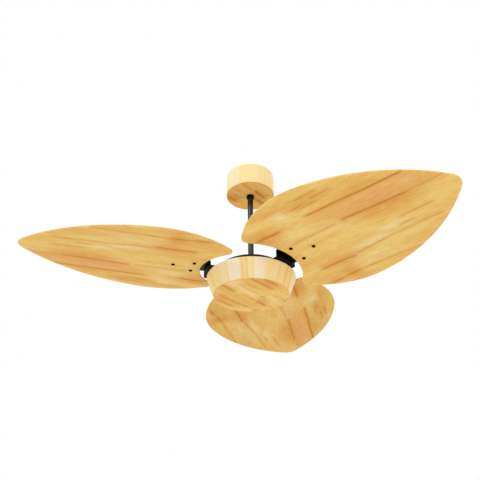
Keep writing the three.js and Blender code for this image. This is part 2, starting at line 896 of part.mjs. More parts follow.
/** The leaf: an arc at the tip, two curved sides, a rounded horn each side and a concave root. */
function bladeOutline() {
  const inset = bladeEdgeRound;
  const turn = bladeTipAngle * DEGREE;
  const tipCentre = bladeTipRadius - bladeTipRound;
  const tipRound = bladeTipRound - inset;
  const sideStart = [
    tipCentre + tipRound * Math.cos(turn),
    tipRound * Math.sin(turn),
  ];
  const sideAlong = [-Math.sin(turn), Math.cos(turn)];
  const widest = [bladeWidestRadius, bladeHalfWidth - inset];
  const horn = hornAngle * DEGREE;
  const hornCentre = [
    (notchRadius + hornRound) * Math.cos(horn),
    (notchRadius + hornRound) * Math.sin(horn),
  ];
  const hornSmall = hornRound - inset;
  const hornStart = hornArcAngle * DEGREE;
  const sideEnd = [
    hornCentre[0] + hornSmall * Math.cos(hornStart),
    hornCentre[1] + hornSmall * Math.sin(hornStart),
  ];
  const hornAlong = [-Math.sin(hornStart), Math.cos(hornStart)];
  const hornEnd = horn + Math.PI;

  const shape = new THREE.Shape();
  shape.absarc(tipCentre, 0, tipRound, -turn, turn, false);
  shape.bezierCurveTo(
    sideStart[0] + tipHandleLength * sideAlong[0],
    sideStart[1] + tipHandleLength * sideAlong[1],
    widest[0] + widestHandleLength,
    widest[1],
    ...widest,
  );
  shape.bezierCurveTo(
    widest[0] - shoulderHandleLength,
    widest[1],
    sideEnd[0] - hornHandleLength * hornAlong[0],
    sideEnd[1] - hornHandleLength * hornAlong[1],
    ...sideEnd,
  );
  shape.absarc(...hornCentre, hornSmall, hornStart, hornEnd, false);
  shape.absarc(0, 0, notchRadius + inset, horn, -horn, true);
  shape.absarc(hornCentre[0], -hornCentre[1], hornSmall, -hornEnd, -hornStart, false);
  shape.bezierCurveTo(
    sideEnd[0] - hornHandleLength * hornAlong[0],
    -sideEnd[1] + hornHandleLength * hornAlong[1],
    widest[0] - shoulderHandleLength,
    -widest[1],
    widest[0],
    -widest[1],
  );
  shape.bezierCurveTo(
    widest[0] + widestHandleLength,
    -widest[1],
    sideStart[0] + tipHandleLength * sideAlong[0],
    -sideStart[1] - tipHandleLength * sideAlong[1],
    sideStart[0],
    -sideStart[1],
  );
  shape.closePath();
  return shape;
}

function blade() {
  const top = -SEAT;
  const bottom = top - bladeThickness;
  const leaf = new THREE.ExtrudeGeometry(bladeOutline(), {
    depth: bladeThickness - 2 * bladeEdgeRound,
    bevelSize: bladeEdgeRound,
    bevelThickness: bladeEdgeRound,
    bevelSegments: 1,
    curveSegments: 6,
  }).translate(0, 0, bottom + bladeEdgeRound);
  const holes = bladeScrewPlaces.map(([u, v]) =>
    disc(screwHole, bottom - OVERLAP, top + OVERLAP, SCREW_ROUND).translate(u, v, 0),
  );
  return cut(leaf, ...holes);
}

// ---------------------------------------------------------------------------------------------
// Canopy, collar and drum
// ---------------------------------------------------------------------------------------------

/**
 * A wooden ring on a disc, mitred where they meet so that neither shows its edge grain.
 * Returns the two geometries, as [ring, disc].
 */
function mitredCup({ topRadius, bottomRadius, top, bottom, wall, floor, rimRound, edgeRound }) {
  const lean = (topRadius - bottomRadius) / (top - bottom);
  const outerAt = (z) => bottomRadius + lean * (z - bottom);
  const mitreTop = bottom + floor;
  const side = turned(
    [
      [outerAt(bottom) - edgeRound, bottom],
      [outerAt(bottom + edgeRound), bottom + edgeRound],
      [outerAt(top - rimRound), top - rimRound],
      [outerAt(top) - rimRound, top],
      [outerAt(top) - wall, top],
      [outerAt(mitreTop) - wall, mitreTop],
      [outerAt(bottom) - edgeRound, bottom],
    ],
    LARGE_ROUND,
  );
  const discTopRadius = outerAt(mitreTop) - wall - FIT;
  const discBottomRadius = outerAt(bottom) - edgeRound - FIT;
  const base = turned(
    [[0, bottom], [discBottomRadius, bottom], [discTopRadius, mitreTop], [0, mitreTop]],
    LARGE_ROUND,
  );
  return [side, base];
}

const [canopyRing, canopyBase] = mitredCup({
  topRadius: canopyRadius,
  bottomRadius: canopyRadius,
  top: canopyTop,
  bottom: canopyBottom,
  wall: canopyWall,
  floor: canopyFloor,
  rimRound: canopyEdgeRound,
  edgeRound: canopyEdgeRound,
});

const [drumRing, drumBase] = mitredCup({
  topRadius: drumTopRadius,
  bottomRadius: drumBottomRadius,
  top: drumRim,
  bottom: drumBottom,
  wall: drumWall,
  floor: drumFloor,
  rimRound: drumRimRound,
  edgeRound: drumEdgeRound,
});

function canopyDisc() {
  const hole = disc(rodRadius + FIT, canopyBottom - OVERLAP, canopyTop, SMALL_ROUND);
  return cut(canopyBase, hole);
}

const collarTop = canopyBottom - SEAT;
const collarBottom = collarTop - collarHeight;
const collarMiddle = (collarTop + collarBottom) / 2;

function collarHole(radius, from, to) {
  return disc(radius, from, to, SCREW_ROUND)
    .rotateX(-Math.PI / 2)
    .translate(0, 0, collarMiddle);
}

function canopyCollar() {
  const bore = rodRadius + FIT;
  const body = turned(
    [
      [bore, collarBottom],
      ...arcPoints(
        collarRadius - collarRound,
        collarBottom + collarRound,
        collarRound,
        -90,
        0,
        3,
      ),
      [collarRadius, collarTop],
      [bore, collarTop],
      [bore, collarBottom],
    ],
    MEDIUM_ROUND,
  );
  return cut(body, collarHole(collarScrewRadius + FIT, 0, collarRadius + OVERLAP));
}

function collarScrew() {
  return collarHole(collarScrewRadius, rodRadius + SEAT, collarRadius + SEAT);
}

function drumDisc() {
  const hole = disc(insertBarrelRadius + FIT, insertHoleFloor, drumFloorTop + OVERLAP, SMALL_ROUND);
  return cut(drumBase, hole);
}

function drumInsert() {
  const bore = shaftRadius + FIT;
  const under = insertTop - insertFlange;
  return turned(
    [
      [bore, insertBottom],
      [insertBarrelRadius, insertBottom],
      [insertBarrelRadius, under],
      [insertFlangeRadius, under],
      [insertFlangeRadius, insertTop],
      [bore, insertTop],
      [bore, insertBottom],
    ],
    SMALL_ROUND,
  );
}

/** The nut that clamps the lower bearing: its boss reaches up through the cover to the ring. */
function shaftNut() {
  const boss = disc(shaftNutBoss, shaftNutTop - OVERLAP, lowerBearingBottom - SEAT, SMALL_ROUND);
  const hex = hexagon(shaftNutFlats, shaftNutTop - shaftNutHeight, shaftNutTop);
  const bore = disc(shaftRadius + FIT, shaftNutTop - shaftNutHeight - OVERLAP, motorTop, SMALL_ROUND);
  return cut(join(boss, hex), bore);
}

// ---------------------------------------------------------------------------------------------
// Electrical pieces, in the canopy and inside the rod
// ---------------------------------------------------------------------------------------------

const leadZ = pivotZ - leadHoleDrop;
const windingInner = slotFloorRadius + SEAT;

/** The supply lead: connector, rod side hole, down past the cross bolt, shaft window, winding. */
function supplyLead() {
  const beside = couplingBoltRadius + leadRadius + 0.2;
  const inShaft = shaftBore - leadRadius - 0.4;
  const windowZ = upperBearingBottom - leadWindow / 2;
  const route = new THREE.CatmullRomCurve3(
    [
      [0, connectorDistance - SEAT, leadZ],
      [0, (connectorDistance + rodRadius) / 2, leadZ],
      [0, rodRadius + 2, leadZ],
      [0, rodBore - 0.4, leadZ - 0.8],
      [0, beside, leadZ - 6],
      [0, beside, leadZ - 40],
      [0, beside, couplingBoltZ + 40],
      [0, beside, couplingBoltZ + 8],
      [0, beside, couplingBoltZ - 5],
      [0, inShaft, couplingFloor],
      [0, inShaft, shaftTop - 6],
      [0, inShaft, windowZ + 6],
      [0, inShaft + 0.6, windowZ + 1.9],
      [0, shaftRadius - 0.6, windowZ + 0.1],
      [0, shaftRadius + 4, windowZ],
      [0, windingInner - SEAT, windowZ],
    ].map((point) => new THREE.Vector3(...point)),
    false,
    "centripetal",
  );
  return tubeAlong(route, leadRadius, 6, 56);
}

function connectorBlock() {
  const { x, y, z } = connectorSize;
  const low = [-x / 2, connectorDistance, leadZ - z / 2];
  const body = block(low, [x / 2, connectorDistance + y, leadZ + z / 2]);
  const terminals = Array.from({ length: terminalCount }, (_, i) =>
    disc(terminalRadius, leadZ + z / 2 - terminalDepth, leadZ + z, SCREW_ROUND).translate(
      ((i + 0.5) / terminalCount - 0.5) * x,
      connectorDistance + y / 2,
      0,
    ),
  );
  return cut(body, ...terminals);
}

const capacitorTop = pivotZ - capacitorDrop;
const capacitorFace = rodRadius + FIT + strapSheet;

function runCapacitor() {
  const { x, y, z } = capacitorSize;
  return block(
    [-x / 2, -capacitorFace - SEAT - y, capacitorTop - z],
    [x / 2, -capacitorFace - SEAT, capacitorTop],
  );
}

/** A band round the rod with a flat tab that the capacitor is fixed to. */
function capacitorStrap() {
  const middle = capacitorTop - capacitorSize.z / 2;
  const bottom = middle - strapHeight / 2;
  const top = middle + strapHeight / 2;
  const outer = rodRadius + FIT + strapSheet;
  const tab = block([-outer, -capacitorFace, bottom], [outer, -outer + strapSheet, top]);
  return cut(
    join(disc(outer, bottom, top, SMALL_ROUND), tab),
    disc(rodRadius + FIT, bottom - OVERLAP, top + OVERLAP, SMALL_ROUND),
  );
}

/** The capacitor's lead, from its top round the bracket's ear to the connector's end. */
function capacitorLead() {
  const startX = capacitorSize.x / 2 - 3;
  const startY = -capacitorFace - capacitorSize.y / 2;
  const endX = connectorSize.x / 2 - 3;
  const route = new THREE.CatmullRomCurve3(
    [
      [startX, startY, capacitorTop + SEAT],
      [startX, startY, capacitorTop + 3],
      [startX + 2.5, startY + 6, capacitorTop + 5],
      [startX + 4, 0, capacitorTop + 4],
      [startX + 1, connectorDistance - 10, leadZ + 3],
      [endX, connectorDistance - 4, leadZ],
      [endX, connectorDistance - SEAT, leadZ],
    ].map((point) => new THREE.Vector3(...point)),
  );
  return tubeAlong(route, leadRadius, 6, 20);
}

// ---------------------------------------------------------------------------------------------
// Assembly
// ---------------------------------------------------------------------------------------------

addMesh(fan, "ceiling_bracket", ceilingBracket(), zincSteel);
addMesh(fan, "hanger_bolt", hangerBolt(), zincSteel);
addMesh(fan, "hanger_nut", hangerNut(), zincSteel);
addMesh(fan, "hanger_bush", hangerBush(), rubber);

addMesh(fan, "downrod", downrod(), blackPaint);
addMesh(fan, "supply_lead", supplyLead(), leadSheath);
addMesh(fan, "connector_block", connectorBlock(), whitePlastic);
addMesh(fan, "run_capacitor", runCapacitor(), leadSheath);
addMesh(fan, "capacitor_strap", capacitorStrap(), zincSteel);
addMesh(fan, "capacitor_lead", capacitorLead(), leadSheath);

addMesh(fan, "canopy_ring", canopyRing, sideWood);
addMesh(fan, "canopy_disc", canopyDisc(), bladeWood);
addMesh(fan, "canopy_collar", canopyCollar(), blackPaint);
addMesh(fan, "collar_screw", collarScrew(), zincSteel);

addMesh(fan, "shaft_coupling", shaftCoupling(), blackPaint);
addMesh(fan, "coupling_bolt", couplingBolt(), zincSteel);
addMesh(fan, "coupling_nut", couplingNut(), zincSteel);
addMesh(fan, "cotter_pin", cotterPin(), zincSteel);

addMesh(fan, "motor_shaft", motorShaft(), bearingSteel);
addMesh(fan, "stator_core", statorCore(), electricalSteel);
addMesh(fan, "stator_winding", statorWinding(), copperWire);
addMesh(fan, "shaft_nut", shaftNut(), zincSteel);

for (const [name, top] of [["upper", upperBearingTop], ["lower", lowerBearingTop]]) {
  addMesh(fan, `${name}_bearing_inner`, bearingInner(top), bearingSteel);
  addMesh(fan, `${name}_bearing_outer`, bearingOuter(top), bearingSteel);
  addMesh(fan, `${name}_ball_cage`, ballCage(top), bearingSteel);
}

addMesh(fan, "rotor_core", rotorCore(), electricalSteel);
addMesh(fan, "rotor_top_cover", topCover(), castAluminium);
addMesh(fan, "rotor_bottom_cover", bottomCover(), castAluminium);

earPlaces.forEach(([x, y], i) => {
  const screw = addMesh(
    fan,
    `cover_screw_${i + 1}`,
    panScrew(coverSheet + SEAT + flangeSheet + screwTail),
    zincSteel,
  );
  screw.position.set(x, y, flangeTop + 2 * SEAT + coverSheet);
});

bladeAngles.forEach((angle, i) => {
  const number = i + 1;
  const arm = new THREE.Group();
  arm.rotation.z = angle;
  fan.add(arm);
  addMesh(arm, `blade_iron_${number}`, bladeIron(), blackPaint);
  ironScrewPlaces.forEach(([x, y], j) => {
    const length = ironSheet + SEAT + flangeSheet + screwTail;
    const screw = addMesh(arm, `iron_screw_${number}${"ab"[j]}`, panScrew(length), zincSteel);
    screw.position.set(x, y, ironBase + ironSheet + SEAT);
  });

  const pitchedFrame = new THREE.Group();
  pitchedFrame.position.z = ironPlate;
  pitchedFrame.rotation.x = -bladePitch * DEGREE;
  arm.add(pitchedFrame);
  addMesh(pitchedFrame, `blade_${number}`, blade(), bladeWood);
  bladeScrewPlaces.forEach(([u, v], j) => {
    const length = SEAT + bladeThickness + SEAT + ironSheet + screwTail;
    const screw = addMesh(
      pitchedFrame,
      `blade_screw_${number}${"abc"[j]}`,
      panScrew(length),
      blackPaint,
    );
    screw.rotation.x = Math.PI;
    screw.position.set(u, v, -2 * SEAT - bladeThickness);
  });
});

addMesh(fan, "drum_ring", drumRing, sideWood);
addMesh(fan, "drum_disc", drumDisc(), bladeWood);
addMesh(fan, "drum_insert", drumInsert(), zincSteel);

export default fan;
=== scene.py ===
"""A ceiling fan with three leaf-shaped wooden blades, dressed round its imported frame.

The fan hangs from the origin, which is the middle of the ceiling bracket's top face. Sizes are
given in millimetres and turned into metres once, where they are stated. Levels come from the
frame's own nodes.
"""

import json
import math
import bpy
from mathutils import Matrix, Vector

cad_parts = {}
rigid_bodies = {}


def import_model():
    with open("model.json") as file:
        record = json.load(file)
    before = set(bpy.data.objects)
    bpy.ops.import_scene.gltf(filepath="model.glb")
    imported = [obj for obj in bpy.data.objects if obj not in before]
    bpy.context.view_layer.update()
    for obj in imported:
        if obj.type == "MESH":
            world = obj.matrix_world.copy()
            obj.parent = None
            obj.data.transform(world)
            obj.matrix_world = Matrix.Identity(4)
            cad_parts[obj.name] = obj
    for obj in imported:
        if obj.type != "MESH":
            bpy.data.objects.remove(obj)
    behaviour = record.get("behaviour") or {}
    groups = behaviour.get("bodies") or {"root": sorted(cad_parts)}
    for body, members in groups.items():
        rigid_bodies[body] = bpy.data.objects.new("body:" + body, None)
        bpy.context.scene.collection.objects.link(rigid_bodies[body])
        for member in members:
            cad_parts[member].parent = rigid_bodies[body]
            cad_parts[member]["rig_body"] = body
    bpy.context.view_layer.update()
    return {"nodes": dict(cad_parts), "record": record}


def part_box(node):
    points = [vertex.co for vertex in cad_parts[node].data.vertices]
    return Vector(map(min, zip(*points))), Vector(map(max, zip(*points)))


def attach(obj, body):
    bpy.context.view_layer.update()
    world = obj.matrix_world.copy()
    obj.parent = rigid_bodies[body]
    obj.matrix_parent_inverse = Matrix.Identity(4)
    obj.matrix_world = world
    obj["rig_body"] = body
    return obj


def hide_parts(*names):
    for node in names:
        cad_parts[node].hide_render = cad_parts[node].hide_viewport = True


bl_info = {
    "name": "Leaf Blade Ceiling Fan",
    "version": (1, 0, 0),
    "blender": (4, 5, 0),
    "location": "3D View > Sidebar > Ceiling Fan",
    "description": "Models a ceiling fan with leaf-shaped wooden blades, a drum and a canopy",
    "category": "Add Mesh",
}

import bmesh
import bpy
from bpy.props import FloatProperty, FloatVectorProperty, IntProperty, PointerProperty
from bpy.types import Operator, Panel, PropertyGroup
from mathutils import Matrix, Vector

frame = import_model()

MM = 0.001
BLADE_NUMBERS = (1, 2, 3)


def lowest(node):
    """A node's lowest level in the frame, in metres."""
    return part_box(node)[0].z


def highest(node):
    """A node's highest level in the frame, in metres."""
    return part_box(node)[1].z


# ---- Settings ----


def level(name, metres, description):
    """A height in the frame, in metres."""
    return FloatProperty(
        name=name, description=description, default=metres, unit="LENGTH", precision=5
    )


def length(name, millimetres, description):
    """A length, stated in millimetres."""
    return level(name, millimetres * MM, description)


def turn(name, degrees, description):
    """An angle, stated in degrees."""
    return FloatProperty(
        name=name, description=description, default=math.radians(degrees), subtype="ANGLE"
    )


def linear(red, green, blue):
    """A screen colour of 0 to 255 as the linear colour that shaders take."""
    parts = (part / 255 for part in (red, green, blue))
    return tuple(p / 12.92 if p <= 0.04045 else ((p + 0.055) / 1.055) ** 2.4 for p in parts)


def colour(name, rgb, description):
    """A colour, stated as its screen values."""
    return FloatVectorProperty(
        name=name,
        description=description,
        default=linear(*rgb),
        subtype="COLOR",
        size=3,
        min=0,
        max=1,
    )


class BladeSizes(PropertyGroup):
    """Sizes of the three blades, measured from the fan's axis in the blade's own plane."""

    tip_radius: length("Tip Radius", 534.4, "Fan axis to the blade's tip")
    tip_round: length("Tip Round", 31.8, "Radius of the tip")
    tip_turn: turn("Tip Turn", 38.3, "Half the angle that the tip's arc turns through")
    widest_radius: length("Widest Place", 231.5, "Fan axis to the widest place")
    half_width: length("Half Width", 175.7, "Half the blade's width at its widest place")
    tip_handle: length("Tip Handle", 178, "How far the side runs straight on from the tip's arc")
    widest_handle: length("Widest Handle", 34, "How far it runs straight outside the widest place")
    shoulder_handle: length("Shoulder Handle", 77.6, "How far it runs straight inside that place")
    horn_handle: length("Horn Handle", 23.6, "How far it runs straight before the horn")
    horn_round: length("Horn Round", 16.8, "Radius of the two horns beside the root")
    horn_angle: turn("Horn Angle", 48.9, "Middle line to the horn's centre, seen from the axis")
    horn_turn: turn("Horn Turn", 133.7, "Where on its arc the horn meets the side")
    notch_radius: length("Notch Radius", 124, "Radius of the root edge, an arc round the axis")
    thickness: length("Thickness", 6, "Thickness of the board")
    under_round: length("Underside Round", 2.0, "Radius of the underside's edge")
    top_round: length("Top Round", 3.8, "Radius of the top face's edge")
    seat: length("Seat", 0.3, "Gap between the board and its iron")
    pitch: turn("Pitch", 6.75, "How far the blade is turned about its middle line")
    hole_radius: length("Hole Radius", 2.7, "Radius of the screw holes")


class IronSizes(PropertyGroup):
    """Sizes of the three blade irons."""

    sheet: length("Sheet", 2.5, "Thickness of the metal")
    half_width: length("Half Width", 32, "Half the iron's width")
    inner_radius: length("Inner Radius", 79, "Fan axis to the base's inner edge")
    web_radius: length("Web Radius", 114, "Fan axis to the web's outer face")
    bend: length("Bend", 2.2, "Bend radius at the sheet's middle")
    rise: length("Rise", 15.2, "Underside of the base to underside of the blade plate")
    shoulder: length("Shoulder", 150.5, "Fan axis to where the blade plate starts to taper")
    end_centre: length("End Centre", 190, "Fan axis to the centre of the rounded end")
    end_round: length("End Round", 13, "Radius of the rounded end")
    edge_round: length("Edge Round", 0.5, "Radius of the sheet's edges")
    base: level("Base", lowest("blade_iron_1"), "Underside of the base")


class ScrewSizes(PropertyGroup):
    """Sizes of the pan-head screws."""

    head_radius: length("Head Radius", 4.1, "Radius of the head")
    head_height: length("Head Height", 2.4, "Height of the head")
    head_round: length("Head Round", 1.5, "Radius of the head's dome edge")
    shank_radius: length("Shank Radius", 2.4, "Radius of the shank")
    thread_depth: length("Thread Depth", 0.3, "Depth of the thread's grooves")
    thread_pitch: length("Thread Pitch", 0.8, "Distance between thread crests")
    recess_length: length("Recess Length", 4.6, "Length of the cross recess's arms")
    recess_width: length("Recess Width", 1.0, "Width of its arms")
    recess_depth: length("Recess Depth", 1.3, "Depth of the recess")


class DrumSizes(PropertyGroup):
    """Sizes of the wooden drum under the motor."""

    top_radius: length("Top Radius", 107.5, "Outer radius at the rim")
    bottom_radius: length("Bottom Radius", 90.2, "Outer radius at the underside")
    wall: length("Wall", 5, "Thickness of the ring")
    floor: length("Floor", 8, "Thickness of the disc")
    rim_round: length("Rim Round", 1.6, "Radius of the rim's edge")
    edge_round: length("Edge Round", 1.2, "Radius of the underside's edge")
    insert_hole: length("Insert Hole", 8.9, "Radius of the hole for the metal insert")
    insert_floor: length("Insert Floor", 2, "Wood left under the insert")
    rim: level("Rim", highest("drum_ring"), "Level of the rim")
    underside: level("Underside", lowest("drum_ring"), "Level of the underside")


class CanopySizes(PropertyGroup):
    """Sizes of the wooden canopy, its collar and the downrod."""

    radius: length("Radius", 62, "Outer radius of the canopy")
    wall: length("Wall", 3.5, "Thickness of the ring")
    floor: length("Floor", 6, "Thickness of the disc")
    edge_round: length("Edge Round", 1.2, "Radius of the canopy's edges")
    collar_radius: length("Collar Radius", 10, "Outer radius of the collar")
    collar_round: length("Collar Round", 1.6, "Radius of the collar's lower edge")
    collar_groove: length("Collar Groove", 0.5, "Depth of the groove round the collar")
    rod_radius: length("Rod Radius", 7.2, "Outer radius of the downrod")
    rod_wall: length("Rod Wall", 1.2, "Wall of the downrod")
    eye_radius: length("Eye Radius", 10, "Outer radius of the eye on top of the rod")
    eye_bore: length("Eye Bore", 7, "Bore of the eye")
    eye_width: length("Eye Width", 25.6, "Length of the eye")
    pivot_drop: length("Pivot Drop", 22, "Ceiling to the hanger bolt's axis")
    clearance: length("Clearance", 0.3, "Radial clearance round the rod")
    rim: level("Rim", highest("canopy_ring"), "Level of the canopy's rim")
    underside: level("Underside", lowest("canopy_ring"), "Level of the canopy's underside")


class MotorSizes(PropertyGroup):
    """Sizes of the motor's covers and of the coupling over them."""

    radius: length("Radius", 78, "Outer radius of the covers")
    sheet: length("Sheet", 3, "Thickness of their sides and ears")
    roof: length("Roof", 2.5, "Thickness of their flat parts")
    ledge: length("Ledge", 6, "Width of the ledge that grips the rotor core")
    top_round: length("Top Round", 3, "Radius of the upper edge")
    bottom_round: length("Bottom Round", 6, "Radius of the lower edge")
    hole_radius: length("Hole Radius", 9.6, "Radius of the hole round the shaft")
    seat_radius: length("Seat Radius", 16.1, "Inner radius of the bearing seats")
    seat_wall: length("Seat Wall", 3.2, "Thickness of the bearing seats")
    flange_radius: length("Flange Radius", 94, "Outer radius of the lower cover's flange")
    flange_sheet: length("Flange Sheet", 2.5, "Thickness of the flange")
    screw_circle: length("Screw Circle", 86.5, "Fan axis to the screws on the flange")
    screw_hole: length("Screw Hole", 2.7, "Radius of their holes")
    iron_screw_spread: length("Iron Screw Spread", 20, "Iron's middle line to its screws")
    ear_radius: length("Ear Radius", 7, "Radius of the upper cover's ears")
    vent_inner: length("Vent Inner End", 34, "Fan axis to the vents' inner ends")
    vent_outer: length("Vent Outer End", 56, "Fan axis to the vents' outer ends")
    vent_width: length("Vent Width", 5, "Width of the vents")
    gap: length("Gap", 0.3, "Clearance between parts that fit together")
    coupling_radius: length("Coupling Radius", 11, "Outer radius of the coupling")
    coupling_chamfer: length("Coupling Chamfer", 1.5, "Chamfer at its ends")
    coupling_web: length("Coupling Web", 2.4, "Metal between the rod and the shaft")
    socket_depth: length("Socket Depth", 26, "Depth of the socket for the rod")
    shaft_socket: length("Shaft Socket", 6.3, "Radius of the socket for the shaft")
    wire_passage: length("Wire Passage", 3.8, "Radius of the passage for the lead")
    bolt_drop: length("Bolt Drop", 13, "Coupling's top to its cross bolt")
    bolt_hole: length("Bolt Hole", 2.8, "Radius of the cross bolt's hole")
    lead_drop: length("Lead Drop", 15, "Hanger bolt to the rod's side hole")
    lead_hole: length("Lead Hole", 3, "Radius of the rod's side hole")


class WoodColours(PropertyGroup):
    """Screen colours of the wood."""

    honey: colour("Honey", (243, 206, 119), "Main colour of the blades")
    tan: colour("Tan", (234, 186, 100), "Darker bands along the blades")
    pale: colour("Pale", (246, 222, 157), "Light bands and patches")
    gold: colour("Gold", (255, 218, 124), "Main colour of the canopy's underside")
    rose: colour("Rose", (235, 168, 101), "Reddish planks")
    amber: colour("Amber", (225, 151, 65), "Warm shadow beside the dark lines")
    line: colour("Line", (172, 100, 30), "Dark grain lines")
    cream: colour("Cream", (251, 230, 168), "Main colour of the canopy's side")
    pearl: colour("Pearl", (246, 234, 193), "Palest staves")
    blush: colour("Blush", (250, 236, 212), "Pinkish staves")
    straw: colour("Straw", (249, 217, 150), "Yellow staves")


class StageSettings(PropertyGroup):
    """Camera, lamps and background."""

    camera_distance: length("Camera Distance", 1225.4, "Fan axis to the camera, seen from above")
    camera_bearing: turn("Camera Bearing", -47.08, "Direction of the camera from the fan's axis")
    camera_drop: length("Camera Drop", 650.8, "Drum rim to the camera")
    heading: turn("Heading", 134.18, "Direction in which the camera looks, seen from above")
    tilt: turn("Tilt", 31.78, "How far the camera looks up")
    focal: FloatProperty(name="Focal Length", description="In millimetres", default=43.34)
    sensor: FloatProperty(name="Sensor", description="Width in millimetres", default=36.0)
    floor_drop: length("Floor Drop", 2400, "Ceiling to floor")
    floor_size: length("Floor Size", 12000, "Length of the floor's side")
    world_light: FloatProperty(name="World Light", description="Strength on the fan", default=1.0)
    key_light: FloatProperty(name="Key Light", description="Sun strength", default=0.3)
    fill_light: FloatProperty(name="Fill Light", description="Sun strength from below", default=1.4)


class FanSettings(PropertyGroup):
    """Everything that a user may change on the fan."""

    blade: PointerProperty(type=BladeSizes)
    iron: PointerProperty(type=IronSizes)
    screw: PointerProperty(type=ScrewSizes)
    drum: PointerProperty(type=DrumSizes)
    canopy: PointerProperty(type=CanopySizes)
    motor: PointerProperty(type=MotorSizes)
    wood: PointerProperty(type=WoodColours)
    stage: PointerProperty(type=StageSettings)
    steps: IntProperty(name="Round Steps", description="Faces round a turned piece", default=144)


# ---- Shader expressions ----


class Value:
    """One socket of a node tree, written as a value: an expression on it adds Math nodes."""

    def __init__(self, tree, socket):
        self.tree = tree
        self.socket = socket

    def math(self, operation, *others):
        """A Math node on this value and the others."""
        return add_node(
            self.tree, "ShaderNodeMath", {"operation": operation}, dict(enumerate((self, *others)))
        )

    def __add__(self, other):
        return self.math("ADD", other)

    def __sub__(self, other):
        return self.math("SUBTRACT", other)

    def __rsub__(self, other):
        return (self * -1) + other

    def __mul__(self, other):
        return self.math("MULTIPLY", other)

    def __truediv__(self, other):
        return self.math("DIVIDE", other)

    __radd__ = __add__

    def smooth(self, start, end):
        """0 up to start, 1 from end, and a smooth step between."""
        settings = {"interpolation_type": "SMOOTHSTEP"}
        sockets = {"Value": self, "From Min": start, "From Max": end}
        return add_node(self.tree, "ShaderNodeMapRange", settings, sockets)

    def bell(self, centre, width):
        """A soft bump: 1 at the centre, falling to about a third at the width."""
        away = (self - centre) / width
        return (away * away * -1).math("EXPONENT")


def add_node(tree, kind, settings, sockets, output=0):
    """Adds a node, sets it, fills its sockets with values or links, and returns one output."""
    node = tree.nodes.new(kind)
    for name, setting in settings.items():
        setattr(node, name, setting)
    for key, content in sockets.items():
        if isinstance(content, Value):
            tree.links.new(content.socket, node.inputs[key])
        else:
            node.inputs[key].default_value = content
    return Value(tree, node.outputs[output])


class Finish:
    """A material in the making."""

    MIX_FACTOR, MIX_A, MIX_B, MIX_COLOUR = 0, 6, 7, 2

    def __init__(self, name):
        self.material = bpy.data.materials.new(name)
        self.material.use_nodes = True
        self.tree = self.material.node_tree
        self.shader = self.tree.nodes["Principled BSDF"]

    def node(self, kind, settings=None, sockets=None, output=0):
        return add_node(self.tree, kind, settings or {}, sockets or {}, output)

    def coordinates(self, output="Object"):
        return self.node("ShaderNodeTexCoord", output=output)

    def split(self, vector):
        """The three numbers of a vector."""
        kind = "ShaderNodeSeparateXYZ"
        return [self.node(kind, sockets={"Vector": vector}, output=i) for i in range(3)]

    def vector(self, x, y, z):
        return self.node("ShaderNodeCombineXYZ", sockets={"X": x, "Y": y, "Z": z})

    def noise(self, vector, scale=1.0, detail=2.0, roughness=0.5, seed=0.0):
        """Smooth noise about 0.5 at a point, with W as its seed."""
        sockets = {
            "Vector": vector,
            "W": seed,
            "Scale": scale,
            "Detail": detail,
            "Roughness": roughness,
        }
        return self.node("ShaderNodeTexNoise", {"noise_dimensions": "4D"}, sockets)

    def mix(self, factor, first, second):
        """A colour between two, by a value."""
        settings = {"data_type": "RGBA", "clamp_factor": True}
        sockets = {self.MIX_FACTOR: factor, self.MIX_A: opaque(first), self.MIX_B: opaque(second)}
        return self.node("ShaderNodeMix", settings, sockets, self.MIX_COLOUR)

    def bump(self, height, distance, strength):
        """A normal from a height between 0 and 1."""
        sockets = {"Height": height, "Distance": distance, "Strength": strength}
        return self.node("ShaderNodeBump", sockets=sockets)

    def done(self, **inputs):
        """Fills the shader's sockets and returns the material."""
        for name, content in inputs.items():
            socket = self.shader.inputs[name.replace("_", " ")]
            if isinstance(content, Value):
                self.tree.links.new(content.socket, socket)
            else:
                socket.default_value = content
        return self.material


def opaque(content):
    """A plain colour with its alpha added; a linked colour as it is."""
    return content if isinstance(content, Value) else (*content[:3], 1.0)


# ---- Wood ----


MATERIALS = {}
LACQUER_GLOSS, LACQUER_ROUGHNESS, FIBRE_ROUGHNESS = 0.02, 0.40, 0.14
RELIEF_STRENGTH = 0.4
WANDER = 6.0  # how far the grain wanders across the board, in millimetres
LINE_FADE_OUT, LINE_FADE_IN = 6, 16  # how far a streak fades beyond and within its ends
GLOW_WIDTH = 4  # an amber glow beside each streak, in widths of the streak
RIM_OUTER, RIM_INNER = 1, 5  # where the darker rim of a disc ends and starts, from its edge
FOOT_HEIGHT = 4 * MM
STAVE_BLEND = 2.2  # half of the soft change between two staves, in degrees


# A streak is a dark grain line: its start and end along the board, its place across it and its
# width, all in millimetres, then its strength and its slope. A patch is a soft tinted area: its
# centre along and across the board, its two half sizes, the name of its colour and its strength.

# How far each blade's tone is darkened, as painted shade: most on the far blade, which gets less
# light
BLADE_PAINTED_SHADE = {1: 0.0, 2: 0.15, 3: 0.05}

